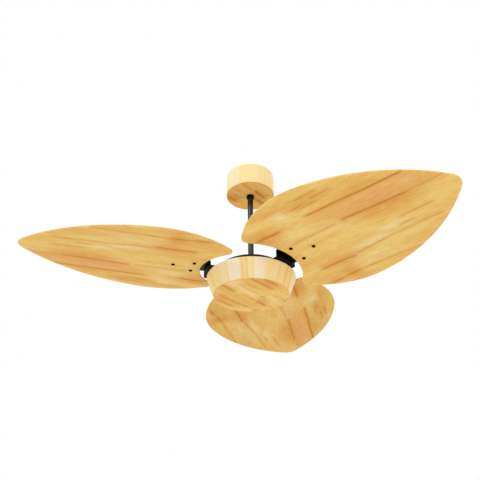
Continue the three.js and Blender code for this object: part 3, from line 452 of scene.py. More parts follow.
BLADE_STREAKS = (
    (126, 178, 147, 3.2, 0.55, -0.1), (172, 228, 139, 2.4, 0.75, -0.03),
    (214, 384, 137, 1.6, 0.5, 0), (144, 250, 84, 2.6, 0.8, 0), (240, 345, 80, 1.8, 0.45, -0.11),
    (325, 470, 69, 1.6, 0.4, -0.03), (374, 416, 49, 1.6, 0.55, 0), (384, 470, 25, 2.4, 0.4, 0),
    (150, 280, -33, 1.5, 0.45, 0), (284, 446, -37, 2.4, 0.85, 0.04),
    (430, 524, -32, 1.5, 0.4, -0.03), (90, 168, -85, 2.4, 0.9, 0), (236, 466, -92, 1.7, 1, 0.025),
    (236, 300, -117, 1.5, 0.45, 0), (222, 262, -124, 1.5, 0.5, 0), (276, 334, -131, 1.5, 0.45, 0),
    (246, 312, -145, 2.2, 0.5, 0), (150, 205, -143, 1.5, 0.3, 0),
)

BLADE_PATCHES = (
    (240, 20, 90, 24, "honey", 0.9), (480, 10, 40, 30, "honey", 0.6),
    (140, 110, 34, 26, "tan", 0.45), (130, 20, 20, 50, "tan", 0.6),
    (270, -128, 60, 22, "tan", 0.7), (200, 134, 24, 36, "amber", 0.8),
    (152, 144, 30, 9, "amber", 0.7), (205, 76, 56, 12, "amber", 0.6),
    (440, 60, 40, 10, "amber", 0.4), (380, -20, 80, 16, "amber", 0.65),
    (130, -84, 40, 9, "amber", 0.6), (120, -105, 30, 14, "amber", 0.35),
    (360, -102, 80, 10, "amber", 0.45), (280, -130, 60, 18, "amber", 0.45),
    (290, 110, 70, 22, "pale", 0.5), (300, 62, 60, 10, "pale", 0.9), (365, 40, 40, 9, "pale", 0.8),
    (190, -58, 45, 18, "pale", 0.6), (195, -118, 20, 16, "pale", 0.9),
    (375, -52, 110, 22, "rose", 0.95), (410, -72, 80, 16, "rose", 0.7),
    (125, -66, 26, 14, "rose", 0.8),
)

DRUM_DISC_STREAKS = (
    (24, 66, -7, 3, 0.8, -0.14), (-30, 28, -9, 2.2, 0.35, 0), (-96, -40, -9, 3.2, 0.7, -0.04),
    (12, 34, 15, 3, 0.7, 0), (56, 76, -51.5, 4, 0.8, 0), (-62, 50, -50, 3.4, 0.5, 0),
    (-50, 16, -73, 3.6, 0.6, 0), (-72, 14, 58, 3.4, 0.7, 0), (-52, 8, 78.5, 3, 0.7, 0),
    (-62, -12, 35, 2.6, 0.35, 0), (-50, 30, 18, 2.6, 0.3, 0),
)

DRUM_DISC_PATCHES = (
    (-5, 7, 32, 11, "pale", 0.8), (40, -60, 40, 10, "pale", 0.5), (60, 8, 26, 10, "pale", 0.5),
    (-8, 47, 50, 8, "honey", 0.6), (12, -33, 26, 8, "amber", 0.4), (-12, -26, 34, 6, "tan", 0.6),
    (-55, 22, 14, 9, "rose", 0.5), (75, 33, 14, 14, "amber", 0.3), (40, 5, 16, 10, "amber", 0.55),
    (-22, 68, 36, 10, "rose", 0.95), (-25, -61, 34, 10, "rose", 0.95),
    (38, -17, 4, 5, "line", 0.4), (77, 38, 6, 4, "line", 0.3),
)

CANOPY_DISC_STREAKS = (
    (12, 56, 1, 3.6, 0.75, 0), (-14, 38, 25, 3.2, 0.85, -0.1), (-62, -10, 22, 2.6, 0.4, 0),
    (-44, -4, -42.5, 3.6, 0.7, 0), (-48, -4, -22, 2.8, 0.45, 0), (-60, -20, -5, 2.4, 0.35, 0),
)

CANOPY_DISC_PATCHES = (
    (-30, -15, 24, 12, "cream", 0.8), (0, 45, 40, 10, "cream", 0.35), (20, 8, 30, 8, "rose", 0.25),
    (30, -20, 26, 14, "cream", 0.45), (-26, -34, 22, 8, "amber", 0.65),
    (-20, 30, 30, 10, "gold", 0.6), (29, 33, 3.5, 3.5, "line", 0.7),
)


def board_finish(finish, wood, base, along, across, streaks, patches):
    """Flat-sawn wood: tinted patches, dark lines and fine grain along the board.

    base holds its dark, middle and light colours, and along and across are positions on the board
    in millimetres. Returns the wood's colour, its relief and its fibre pattern.
    """
    dark, middle_tone, light = base

    def grain(length_scale, cross, cross_scale, **noise):
        """Noise drawn out along the board."""
        return finish.noise(finish.vector(along * length_scale, cross * cross_scale, 0), **noise)

    wavy = across + (grain(0.006, across, 0.012, seed=1.0) - 0.5) * WANDER
    bands = grain(0.006, wavy, 0.03, detail=3.0, seed=4.0)
    tone = finish.mix(bands.smooth(0.38, 0.60), dark, middle_tone)
    tone = finish.mix(bands.smooth(0.56, 0.74) * 0.7, tone, light)
    for centre, side, half_length, half_width, tint, strength in patches:
        spot = along.bell(centre, half_length) * wavy.bell(side, half_width)
        tone = finish.mix(spot * strength, tone, getattr(wood, tint))

    fibre = grain(0.03, wavy, 0.30, detail=4.0, roughness=0.62, seed=9.0)
    tone = finish.mix((fibre - 0.5).smooth(0.0, 0.20) * 0.52, tone, wood.amber)
    tone = finish.mix((0.5 - fibre).smooth(0.0, 0.22) * 0.55, tone, light)

    broken = grain(0.03, across, 0.2, seed=13.0).smooth(0.25, 0.55)
    lines, glow = 0.0, 0.0
    for start, end, side, width, strength, slope in streaks:
        off = wavy - ((along - start) * slope + side)
        drawn = along.smooth(start - LINE_FADE_OUT, start + LINE_FADE_IN) * strength
        drawn = drawn * (1 - along.smooth(end - LINE_FADE_IN, end + LINE_FADE_OUT))
        lines = (off.bell(0, width) * drawn).math("MAXIMUM", lines)
        glow = (off.bell(0, width * GLOW_WIDTH) * drawn).math("MAXIMUM", glow)
    tone = finish.mix(glow * 0.6, tone, wood.amber)
    tone = finish.mix(lines * (broken * 0.4 + 0.35), tone, wood.line)

    flecks = grain(0.05, wavy, 0.5, detail=3.0, seed=17.0).smooth(0.54, 0.68)
    tone = finish.mix(flecks * 0.42, tone, wood.amber)
    pores = grain(0.08, wavy, 1.4, detail=2.0, seed=21.0).smooth(0.60, 0.74)
    tone = finish.mix(pores * 0.16, tone, wood.line)
    return tone, 1 - pores * 0.6, fibre


def lacquered(finish, tone, fibre, relief, depth):
    """Wood under a satin lacquer, whose relief is so many millimetres deep."""
    return finish.done(
        Base_Color=tone,
        Roughness=fibre * FIBRE_ROUGHNESS + LACQUER_ROUGHNESS,
        Normal=finish.bump(relief, depth * MM, RELIEF_STRENGTH),
        Specular_IOR_Level=LACQUER_GLOSS,
    )


def blade_wood(wood):
    """The blades' board, laid out by their UV map in metres, once for each depth of painted shade.
    """
    finish = Finish("blade_wood")
    along, across, _ = finish.split(finish.coordinates("UV"))
    base = (wood.tan, wood.honey, wood.pale)
    layout = (along / MM, across / MM, BLADE_STREAKS, BLADE_PATCHES)
    tone, relief, fibre = board_finish(finish, wood, base, *layout)
    # Painted shade: each blade's copy mixes the dark line colour into its tone by its depth.
    painted_shade_tone = finish.mix(0.0, tone, wood.line)
    painted_shade_tone.socket.node.name = "depth"
    board = lacquered(finish, painted_shade_tone, fibre, relief, 0.1)
    for number, depth in BLADE_PAINTED_SHADE.items():
        material = board.copy()
        material.name = f"blade_wood_{number}"
        material.node_tree.nodes["depth"].inputs[Finish.MIX_FACTOR].default_value = depth
        MATERIALS[material.name] = material
    bpy.data.materials.remove(board)


def disc_wood(wood, name, base, radius, rim_shade, streaks, patches):
    """The underside of the canopy or the drum, with its grain along Y and a darker rim."""
    finish = Finish(name)
    across, along, _ = finish.split(finish.coordinates())
    across, along = across / MM, along / MM
    tone, relief, fibre = board_finish(finish, wood, base, along, across, streaks, patches)
    reach = (along * along + across * across).math("SQRT")
    rim = reach.smooth(radius / MM - RIM_INNER, radius / MM - RIM_OUTER)
    return lacquered(finish, finish.mix(rim * rim_shade, tone, wood.line), fibre, relief, 0.1)


# A stave is a tinted part of a ring's side: its start and end in degrees, the name of its colour
# and its strength. A seam is a dark line down the side: its angle and half width in degrees, its
# strength, and how many degrees it leans for each millimetre that it runs down.

DRUM_STAVES = (
    (-150, -124, "cream", 0.6), (-101, -95, "cream", 0.4), (-95, -81, "pearl", 0.6),
    (-80, -61, "blush", 0.95), (-61, -57, "straw", 0.8), (-50, -42, "cream", 0.3),
    (-42, -28, "blush", 0.75), (-27, -14, "honey", 0.25), (-13, 3, "cream", 0.4),
    (24, 44, "blush", 0.5), (100, 132, "cream", 0.8), (150, 168, "blush", 0.6),
)

DRUM_SEAMS = (
    (-95, 0.9, 0.15, 0), (-81, 0.9, 0.22, 0), (-59, 2.2, 0.15, 0), (-54, 0.9, 0.38, 0.05),
    (-45, 0.9, 0.15, 0), (-7, 0.9, 0.28, 0), (6, 1.5, 0.38, 0), (18, 2, 0.2, 0), (60, 0.9, 0.4, 0),
    (100, 0.9, 0.5, 0), (150, 0.9, 0.4, 0), (-150, 0.9, 0.5, 0),
)

CANOPY_STAVES = (
    (-179, -100, "pearl", 0.9), (-100, -95, "blush", 0.6), (-95, -72, "pearl", 0.85),
    (-28, -8, "straw", 0.35), (-6, 8, "straw", 0.45), (8, 17, "honey", 0.3),
    (17, 70, "pearl", 0.8), (120, 150, "pearl", 0.7),
)

CANOPY_SEAMS = (
    (-71.5, 0.9, 0.16, 0), (-10, 0.9, 0.2, 0), (70, 0.9, 0.3, 0), (140, 0.9, 0.25, 0),
)


def stave_wood(wood, name, base, sizes, staves, seams, contrast):
    """Upright wood round a ring: tinted staves and seams, with fine grain from rim to underside."""
    finish = Finish(name)
    x, y, z = finish.split(finish.coordinates())
    radius = (x * x + y * y).math("SQRT")
    around = finish.vector(x / radius, y / radius, z * 0.9)
    angle = y.math("ARCTAN2", x) * math.degrees(1)

    bands = finish.noise(around, scale=3.4, detail=2.0, seed=3.0)
    tone = finish.mix(bands.smooth(0.40, 0.62), *base)
    for start, end, tint, strength in staves:
        inside = angle.smooth(start - STAVE_BLEND, start + STAVE_BLEND)
        inside = inside * (1 - angle.smooth(end - STAVE_BLEND, end + STAVE_BLEND))
        tone = finish.mix(inside * strength, tone, getattr(wood, tint))
    fibre = finish.noise(around, scale=34.0, detail=3.0, roughness=0.6, seed=7.0)
    tone = finish.mix((fibre - 0.5).smooth(0.02, 0.22) * contrast, tone, wood.honey)
    drop = (sizes.rim - z) / MM
    for centre, half_width, strength, lean in seams:
        line = (angle - drop * lean).bell(centre, half_width)
        tone = finish.mix(line * strength, tone, wood.amber)
    foot = (z - sizes.underside).smooth(0, FOOT_HEIGHT)
    tone = finish.mix((1 - foot) * 0.25, tone, wood.honey)
    return lacquered(finish, tone, fibre, fibre, 0.05)


# ---- Metal, plastic and rubber ----


def shades(rgb, share):
    """A screen colour for shaders, after a darker shade that keeps a share of it."""
    base = linear(*rgb)
    return tuple(part * share for part in base), base


def speckled(name, rgb, roughness, metallic=0.0, specular=0.5, grain=400.0, relief=0.03):
    """A plain finish with the small unevenness of a real surface."""
    finish = Finish(name)
    cloud = finish.noise(finish.coordinates(), scale=grain, detail=3.0, seed=2.0)
    return finish.done(
        Base_Color=finish.mix(cloud.smooth(0.3, 0.7), *shades(rgb, 0.8)),
        Roughness=cloud * 0.16 + (roughness - 0.08),
        Metallic=metallic,
        Specular_IOR_Level=specular,
        Normal=finish.bump(cloud, relief * MM, RELIEF_STRENGTH),
    )


def brushed(name, rgb, roughness):
    """Bare metal with fine scratches along Z."""
    finish = Finish(name)
    sockets = {0: finish.coordinates(), 1: (1800.0, 1800.0, 60.0)}
    spread = finish.node("ShaderNodeVectorMath", {"operation": "MULTIPLY"}, sockets)
    scratches = finish.noise(spread, detail=2.0, seed=5.0)
    return finish.done(
        Base_Color=finish.mix(scratches, *shades(rgb, 0.7)),
        Roughness=scratches * 0.2 + (roughness - 0.1),
        Metallic=1.0,
        Normal=finish.bump(scratches, 0.02 * MM, 0.3),
    )


def laminated(name, rgb):
    """A stack of thin steel sheets, seen from its side."""
    sheet = 0.5 * MM
    finish = Finish(name)
    _, _, z = finish.split(finish.coordinates())
    seam = (z * (2 * math.pi / sheet)).math("SINE").smooth(0.6, 1.0)
    cloud = finish.noise(finish.coordinates(), scale=220.0, detail=3.0, seed=8.0)
    darker, base = shades(rgb, 0.35)
    tone = finish.mix(cloud * 0.5, base, darker)
    return finish.done(
        Base_Color=finish.mix(seam * 0.7, tone, darker),
        Roughness=cloud * 0.2 + 0.35,
        Metallic=0.85,
        Normal=finish.bump(1 - seam, 0.1 * MM, 0.5),
    )


def wound(name, rgb):
    """Enamelled wire laid in turns."""
    wire = 0.7 * MM
    finish = Finish(name)
    x, y, z = finish.split(finish.coordinates())
    radius = (x * x + y * y).math("SQRT")
    turns = ((radius + z) * (2 * math.pi / wire)).math("SINE") * 0.5 + 0.5
    return finish.done(
        Base_Color=finish.mix(turns, *shades(rgb, 0.3)),
        Roughness=0.4 - turns * 0.1,
        Metallic=0.9,
        Normal=finish.bump(turns, 0.3 * MM, 0.8),
    )


def make_materials(settings):
    """Every finish, by the name that the pieces ask for."""
    wood, drum, canopy = settings.wood, settings.drum, settings.canopy
    blade_wood(wood)
    boards = (wood.tan, wood.honey, wood.pale)
    golden = (wood.gold, wood.gold, wood.cream)
    drum_look = (drum.bottom_radius, 0.25, DRUM_DISC_STREAKS, DRUM_DISC_PATCHES)
    canopy_look = (canopy.radius, 0.22, CANOPY_DISC_STREAKS, CANOPY_DISC_PATCHES)
    straw, cream = (wood.straw, wood.cream), (wood.cream, wood.cream)
    drum_side = (drum, DRUM_STAVES, DRUM_SEAMS, 0.5)
    canopy_side = (canopy, CANOPY_STAVES, CANOPY_SEAMS, 0.3)
    MATERIALS.update(
        drum_disc=disc_wood(wood, "drum_disc_wood", boards, *drum_look),
        canopy_disc=disc_wood(wood, "canopy_disc_wood", golden, *canopy_look),
        drum_side=stave_wood(wood, "drum_side_wood", straw, *drum_side),
        canopy_side=stave_wood(wood, "canopy_side_wood", cream, *canopy_side),
        black_paint=speckled("black_paint", (6, 6, 6), 0.32, specular=0.06, relief=0.02),
        collar_paint=speckled("collar_paint", (5, 5, 5), 0.20, specular=0.15, relief=0.01),
        rod_paint=speckled("rod_paint", (70, 69, 70), 0.20, metallic=1.0, relief=0.01),
        motor_black=speckled("motor_black", (24, 24, 25), 0.5, specular=0.2, grain=900.0),
        zinc_steel=brushed("zinc_steel", (186, 188, 192), 0.34),
        bearing_steel=brushed("bearing_steel", (206, 208, 211), 0.22),
        electrical_steel=laminated("electrical_steel", (122, 124, 128)),
        copper=wound("copper_wire", (196, 112, 58)),
        rubber=speckled("bush_rubber", (30, 30, 30), 0.85, specular=0.3, relief=0.06),
        lead_sheath=speckled("lead_sheath", (38, 38, 38), 0.55),
        capacitor_case=speckled("capacitor_case", (28, 28, 30), 0.45),
        white_plastic=speckled("white_plastic", (226, 224, 216), 0.45),
    )


# ---- Mesh helpers ----

SHARP_ANGLE = math.radians(32)
BEVEL_ANGLE = math.radians(35)
BEVEL_STEPS = 2
CORNER_STEPS = 4
HOLE_STEPS = 24
DRILL_STEPS = 32
SAME_PLACE = 1e-6


def smooth_faces(mesh):
    """Makes a mesh's faces smooth up to the sharp angle."""
    mesh.shade_smooth()
    mesh.set_sharp_from_angle(angle=SHARP_ANGLE)


def linked(name, data):
    """A new object in the scene."""
    made = bpy.data.objects.new(name, data)
    bpy.context.scene.collection.objects.link(made)
    return made


def as_object(bm, name, *materials):
    """A bmesh as a new object whose faces are smooth up to the sharp angle."""
    mesh = bpy.data.meshes.new(name)
    bm.to_mesh(mesh)
    bm.free()
    smooth_faces(mesh)
    for material in materials:
        mesh.materials.append(MATERIALS[material])
    return linked(name, mesh)


def dress(piece, body, slot, *nodes):
    """Puts a finished piece on its body, in place of its CAD nodes."""
    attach(piece, body)
    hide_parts(*nodes)


def baked(piece):
    """Applies a piece's modifiers to its mesh."""
    depsgraph = bpy.context.evaluated_depsgraph_get()
    mesh = bpy.data.meshes.new_from_object(piece.evaluated_get(depsgraph))
    smooth_faces(mesh)
    piece.modifiers.clear()
    old = piece.data
    piece.data = mesh
    mesh.name = piece.name
    bpy.data.meshes.remove(old)


def soften_edges(piece, radius):
    """Rounds a piece's sharp edges and applies all its modifiers."""
    edge = piece.modifiers.new("Edge", "BEVEL")
    edge.width = radius
    edge.segments = BEVEL_STEPS
    edge.limit_method = "ANGLE"
    edge.angle_limit = BEVEL_ANGLE
    baked(piece)


def combined(piece, tool, operation):
    """Cuts a tool out of a piece, or joins it on, and deletes the tool."""
    modifier = piece.modifiers.new("Boolean", "BOOLEAN")
    modifier.operation = operation
    modifier.solver = "EXACT"
    modifier.object = tool
    baked(piece)
    bpy.data.objects.remove(tool)
    return piece


def drill(piece, radius, start, along, reach):
    """Cuts a round hole from a point along a direction."""
    bm = bmesh.new()
    bmesh.ops.create_cone(
        bm, cap_ends=True, segments=DRILL_STEPS, radius1=radius, radius2=radius, depth=reach
    )
    towards = Vector(along)
    lean = towards.to_track_quat("Z", "Y").to_matrix()
    bmesh.ops.rotate(bm, matrix=lean, verts=bm.verts)
    bmesh.ops.translate(bm, vec=Vector(start) + towards * (reach / 2), verts=bm.verts)
    combined(piece, as_object(bm, "drill_tool"), "DIFFERENCE")


def rounded_corners(corners):
    """A closed outline of (x, y, radius) corners as points, with each corner rounded."""
    points = []
    for i, (x, y, radius) in enumerate(corners):
        corner = Vector((x, y))
        if not radius:
            points.append(corner)
            continue
        before = (Vector(corners[i - 1][:2]) - corner).normalized()
        after = (Vector(corners[(i + 1) % len(corners)][:2]) - corner).normalized()
        half = math.acos(max(-1.0, min(1.0, before.dot(after)))) / 2
        centre = corner + (before + after).normalized() * (radius / math.sin(half))
        start = corner + before * (radius / math.tan(half)) - centre
        end = corner + after * (radius / math.tan(half)) - centre
        sweep = start.angle_signed(end)
        for step in range(CORNER_STEPS + 1):
            spun = start.copy()
            spun.rotate(Matrix.Rotation(-sweep * step / CORNER_STEPS, 2))
            points.append(centre + spun)
    return points


def loop_edges(bm, points, z=0.0):
    """A closed loop of edges through (x, y) points at a level."""
    corners = [bm.verts.new((x, y, z)) for x, y in points]
    return [bm.edges.new((a, b)) for a, b in zip(corners, corners[1:] + corners[:1])]


def prism(bm, points, low, high):
    """A closed upright prism on an outline; returns its lower corners."""
    edges = loop_edges(bm, points, low)
    floor = bmesh.ops.contextual_create(bm, geom=edges)["faces"]
    lower = list(floor[0].verts)
    grown = bmesh.ops.extrude_face_region(bm, geom=floor)["geom"]
    upper = [part for part in grown if isinstance(part, bmesh.types.BMVert)]
    bmesh.ops.translate(bm, verts=upper, vec=(0, 0, high - low))
    bmesh.ops.recalc_face_normals(bm, faces=bm.faces)
    return lower


def prisms(name, outlines, low, high):
    """Upright prisms on several outlines, as one object."""
    bm = bmesh.new()
    for outline in outlines:
        prism(bm, outline, low, high)
    return as_object(bm, name)


def turned(bm, corners, steps):
    """Turns a profile of (radius, level, rounding) corners about Z.

    The axis closes a profile that starts and ends on it, and one more edge closes any other.
    """
    points = rounded_corners(corners)
    ring = [bm.verts.new((radius, 0, z)) for radius, z in points]
    pairs = list(zip(ring, ring[1:]))
    if points[0][0] > 0:
        pairs.append((ring[-1], ring[0]))
    edges = [bm.edges.new(pair) for pair in pairs]
    bmesh.ops.spin(
        bm,
        geom=ring + edges,
        cent=(0, 0, 0),
        axis=(0, 0, 1),
        dvec=(0, 0, 0),
        angle=2 * math.pi,
        steps=steps,
        use_merge=True,
    )
    bmesh.ops.remove_doubles(bm, verts=bm.verts, dist=SAME_PLACE)
    bmesh.ops.recalc_face_normals(bm, faces=bm.faces)


def turned_piece(name, corners, steps, *materials):
    """A turned piece as an object."""
    bm = bmesh.new()
    turned(bm, corners, steps)
    return as_object(bm, name, *materials)


# ---- Stage ----


class FAN_OT_stage(Operator):
    """Adds the camera, the lamps, the world and the floor"""

    bl_idname = "leaf_fan.stage"
    bl_label = "Stage"

    def execute(self, context):
        settings = context.scene.leaf_fan
        self.add_camera(context, settings)
        self.add_lamps(context, settings.stage)
        self.add_floor(context, settings.stage)
        self.light_world(context, settings.stage)
        context.scene.view_settings.view_transform = "Standard"
        return {"FINISHED"}

    def add_camera(self, context, settings):
        stage = settings.stage
        data = bpy.data.cameras.new("view_camera")
        data.sensor_fit = "HORIZONTAL"
        data.sensor_width = stage.sensor
        data.lens = stage.focal
        camera = linked("view_camera", data)
        camera.location = (
            stage.camera_distance * math.cos(stage.camera_bearing),
            stage.camera_distance * math.sin(stage.camera_bearing),
            settings.drum.rim - stage.camera_drop,
        )
        ahead, aside = math.cos(stage.heading), math.sin(stage.heading)
        flat = math.cos(stage.tilt)
        look = Vector((ahead * flat, aside * flat, math.sin(stage.tilt)))
        camera.rotation_euler = look.to_track_quat("-Z", "Y").to_euler()
        context.scene.camera = camera

    def add_lamps(self, context, stage):
        camera = context.scene.camera
        lamps = (  # the direction is seen from the camera, and the spread is in degrees
            ("key_sun", stage.key_light, (-0.57, 0.75, 0.33), 12),
            ("fill_sun", stage.fill_light, (-0.4, -0.85, 0.6), 90),
        )
        for name, strength, towards, spread in lamps:
            data = bpy.data.lights.new(name, "SUN")
            data.energy = strength
            data.angle = math.radians(spread)
            lamp = linked(name, data)
            source = camera.matrix_basis.to_3x3() @ Vector(towards)
            lamp.rotation_euler = source.to_track_quat("Z", "Y").to_euler()

    def add_floor(self, context, stage):
        bm = bmesh.new()
        bmesh.ops.create_grid(bm, x_segments=1, y_segments=1, size=stage.floor_size / 2)
        bmesh.ops.translate(bm, verts=bm.verts, vec=(0, 0, -stage.floor_drop))
        finish = Finish("pale_floor")
        cloud = finish.noise(finish.coordinates(), scale=3.0)
        MATERIALS["pale_floor"] = finish.done(
            Base_Color=finish.mix(cloud, linear(236, 236, 234), linear(244, 244, 242)),
            Roughness=0.8,
        )
        as_object(bm, "floor", "pale_floor")

    def light_world(self, context, stage):
        world = bpy.data.worlds.new("soft_white")
        context.scene.world = world
        world.use_nodes = True
        tree = world.node_tree
        rays = [
            add_node(tree, "ShaderNodeLightPath", {}, {}, ray)
            for ray in ("Is Camera Ray", "Is Glossy Ray", "Is Transmission Ray")
        ]
        plain = rays[0].math("MAXIMUM", rays[1]).math("MAXIMUM", rays[2])
        strength = stage.world_light + plain * (1 - stage.world_light)
        background = tree.nodes["Background"]
        background.inputs["Color"].default_value = (1, 1, 1, 1)
        tree.links.new(strength.socket, background.inputs["Strength"])


# ---- Blades ----


def arc(centre, radius, start, end, steps):
    """Points along an arc, both ends included; angles in radians."""
    x, y = centre
    angles = [start + (end - start) * i / steps for i in range(steps + 1)]
    return [Vector((x + radius * math.cos(a), y + radius * math.sin(a))) for a in angles]


def circle(centre, radius):
    """Points round a hole."""
    return arc(centre, radius, 0, 2 * math.pi, HOLE_STEPS)[:-1]


def bezier(steps, a, b, c, d):
    """Points along a cubic curve, without its two ends."""
    points = []
    for i in range(1, steps):
        t = i / steps
        s = 1 - t
        points.append(a * s**3 + b * (3 * s * s * t) + c * (3 * s * t * t) + d * t**3)
    return points


TIP_STEPS, SIDE_STEPS, SHOULDER_STEPS, HORN_STEPS, NOTCH_STEPS = 10, 36, 20, 12, 20


def leaf_outline(sizes):
    """The blade's outline, counter-clockwise, as (along, across) points."""
    tip_centre = Vector((sizes.tip_radius - sizes.tip_round, 0))
    tip = arc(tip_centre, sizes.tip_round, 0, sizes.tip_turn, TIP_STEPS)
    tip_along = Vector((-math.sin(sizes.tip_turn), math.cos(sizes.tip_turn)))
    widest = Vector((sizes.widest_radius, sizes.half_width))
    horn_distance = sizes.notch_radius + sizes.horn_round
    horn_centre = horn_distance * Vector((math.cos(sizes.horn_angle), math.sin(sizes.horn_angle)))
    horn_end = sizes.horn_angle + math.pi
    horn = arc(horn_centre, sizes.horn_round, sizes.horn_turn, horn_end, HORN_STEPS)
    horn_along = Vector((-math.sin(sizes.horn_turn), math.cos(sizes.horn_turn)))
    outside = widest + Vector((sizes.widest_handle, 0))
    inside = widest - Vector((sizes.shoulder_handle, 0))
    after_tip = tip[-1] + tip_along * sizes.tip_handle
    before_horn = horn[0] - horn_along * sizes.horn_handle
    side = bezier(SIDE_STEPS, tip[-1], after_tip, outside, widest)
    shoulder = bezier(SHOULDER_STEPS, widest, inside, before_horn, horn[0])
    notch = arc((0, 0), sizes.notch_radius, sizes.horn_angle, 0, NOTCH_STEPS)[1:]
    half = tip + side + [widest] + shoulder + horn + notch
    mirrored = [Vector((x, -y)) for x, y in reversed(half[1:-1])]
    return half + mirrored


class FAN_OT_blades(Operator):
    """Adds the three leaf-shaped wooden blades"""

    bl_idname = "leaf_fan.blades"
    bl_label = "Blades"

    SCREW_PLACES = ((144, 23), (144, -23), (190, 0))  # along and across the blade, in millimetres
    EDGE_STEPS = 5

    def execute(self, context):
        settings = context.scene.leaf_fan
        for number in BLADE_NUMBERS:
            bm = self.leaf(settings.blade)
            bmesh.ops.transform(bm, matrix=blade_place(settings, number), verts=bm.verts)
            piece = as_object(bm, f"wooden_blade_{number}", f"blade_wood_{number}")
            dress(piece, "rotor", "blade_wood", f"blade_{number}")
        return {"FINISHED"}

    def leaf(self, sizes):
        """A flat board with rounded edges and three holes, in the blade's own frame."""
        top = -sizes.seat
        bottom = top - sizes.thickness
        bm = bmesh.new()
        edges = loop_edges(bm, leaf_outline(sizes), bottom)
        face = bmesh.ops.contextual_create(bm, geom=edges)["faces"][0]
        grown = bmesh.ops.extrude_face_region(bm, geom=[face])["geom"]
        upper = [part for part in grown if isinstance(part, bmesh.types.BMVert)]
        bmesh.ops.translate(bm, verts=upper, vec=(0, 0, sizes.thickness))
        for radius, side in ((sizes.under_round, min), (sizes.top_round, max)):
            flat = side(self.flats(bm), key=lambda face: face.calc_center_median().z)
            bmesh.ops.bevel(
                bm,
                geom=list(flat.edges),
                offset=radius,
                offset_type="OFFSET",
                segments=self.EDGE_STEPS,
                profile=0.5,
                affect="EDGES",
                material=-1,
            )
        flats = self.flats(bm)
        outlines = [list(flat.edges) for flat in flats]
        levels = [flat.calc_center_median().z for flat in flats]
        bmesh.ops.delete(bm, geom=flats, context="FACES_ONLY")
        places = [(x * MM, y * MM) for x, y in self.SCREW_PLACES]
        holes = []
        for outline, z in zip(outlines, levels):
            rings = [loop_edges(bm, circle(place, sizes.hole_radius), z) for place in places]
            holes.append(rings)
            loops = outline + [edge for ring in rings for edge in ring]
            bmesh.ops.triangle_fill(bm, use_beauty=True, use_dissolve=False, edges=loops)
        for lower_ring, upper_ring in zip(*holes):
            bmesh.ops.bridge_loops(bm, edges=lower_ring + upper_ring)
        bmesh.ops.recalc_face_normals(bm, faces=bm.faces)
        layer = bm.loops.layers.uv.new("board")
        for face in bm.faces:
            for loop in face.loops:
                loop[layer].uv = loop.vert.co.xy
        return bm

    def flats(self, bm):
        """The board's two flat faces."""
        return [face for face in bm.faces if len(face.verts) > 4]


def blade_turn(number):
    """The direction of a numbered blade about the fan's axis."""
    return Matrix.Rotation((number - 1) * 2 * math.pi / len(BLADE_NUMBERS), 4, "Z")


def blade_place(settings, number):
    """From a blade's own flat frame to its pitched place on the fan."""
    lift = Matrix.Translation((0, 0, settings.iron.base + settings.iron.rise))
    return blade_turn(number) @ lift @ Matrix.Rotation(-settings.blade.pitch, 4, "X")


# ---- Blade irons ----


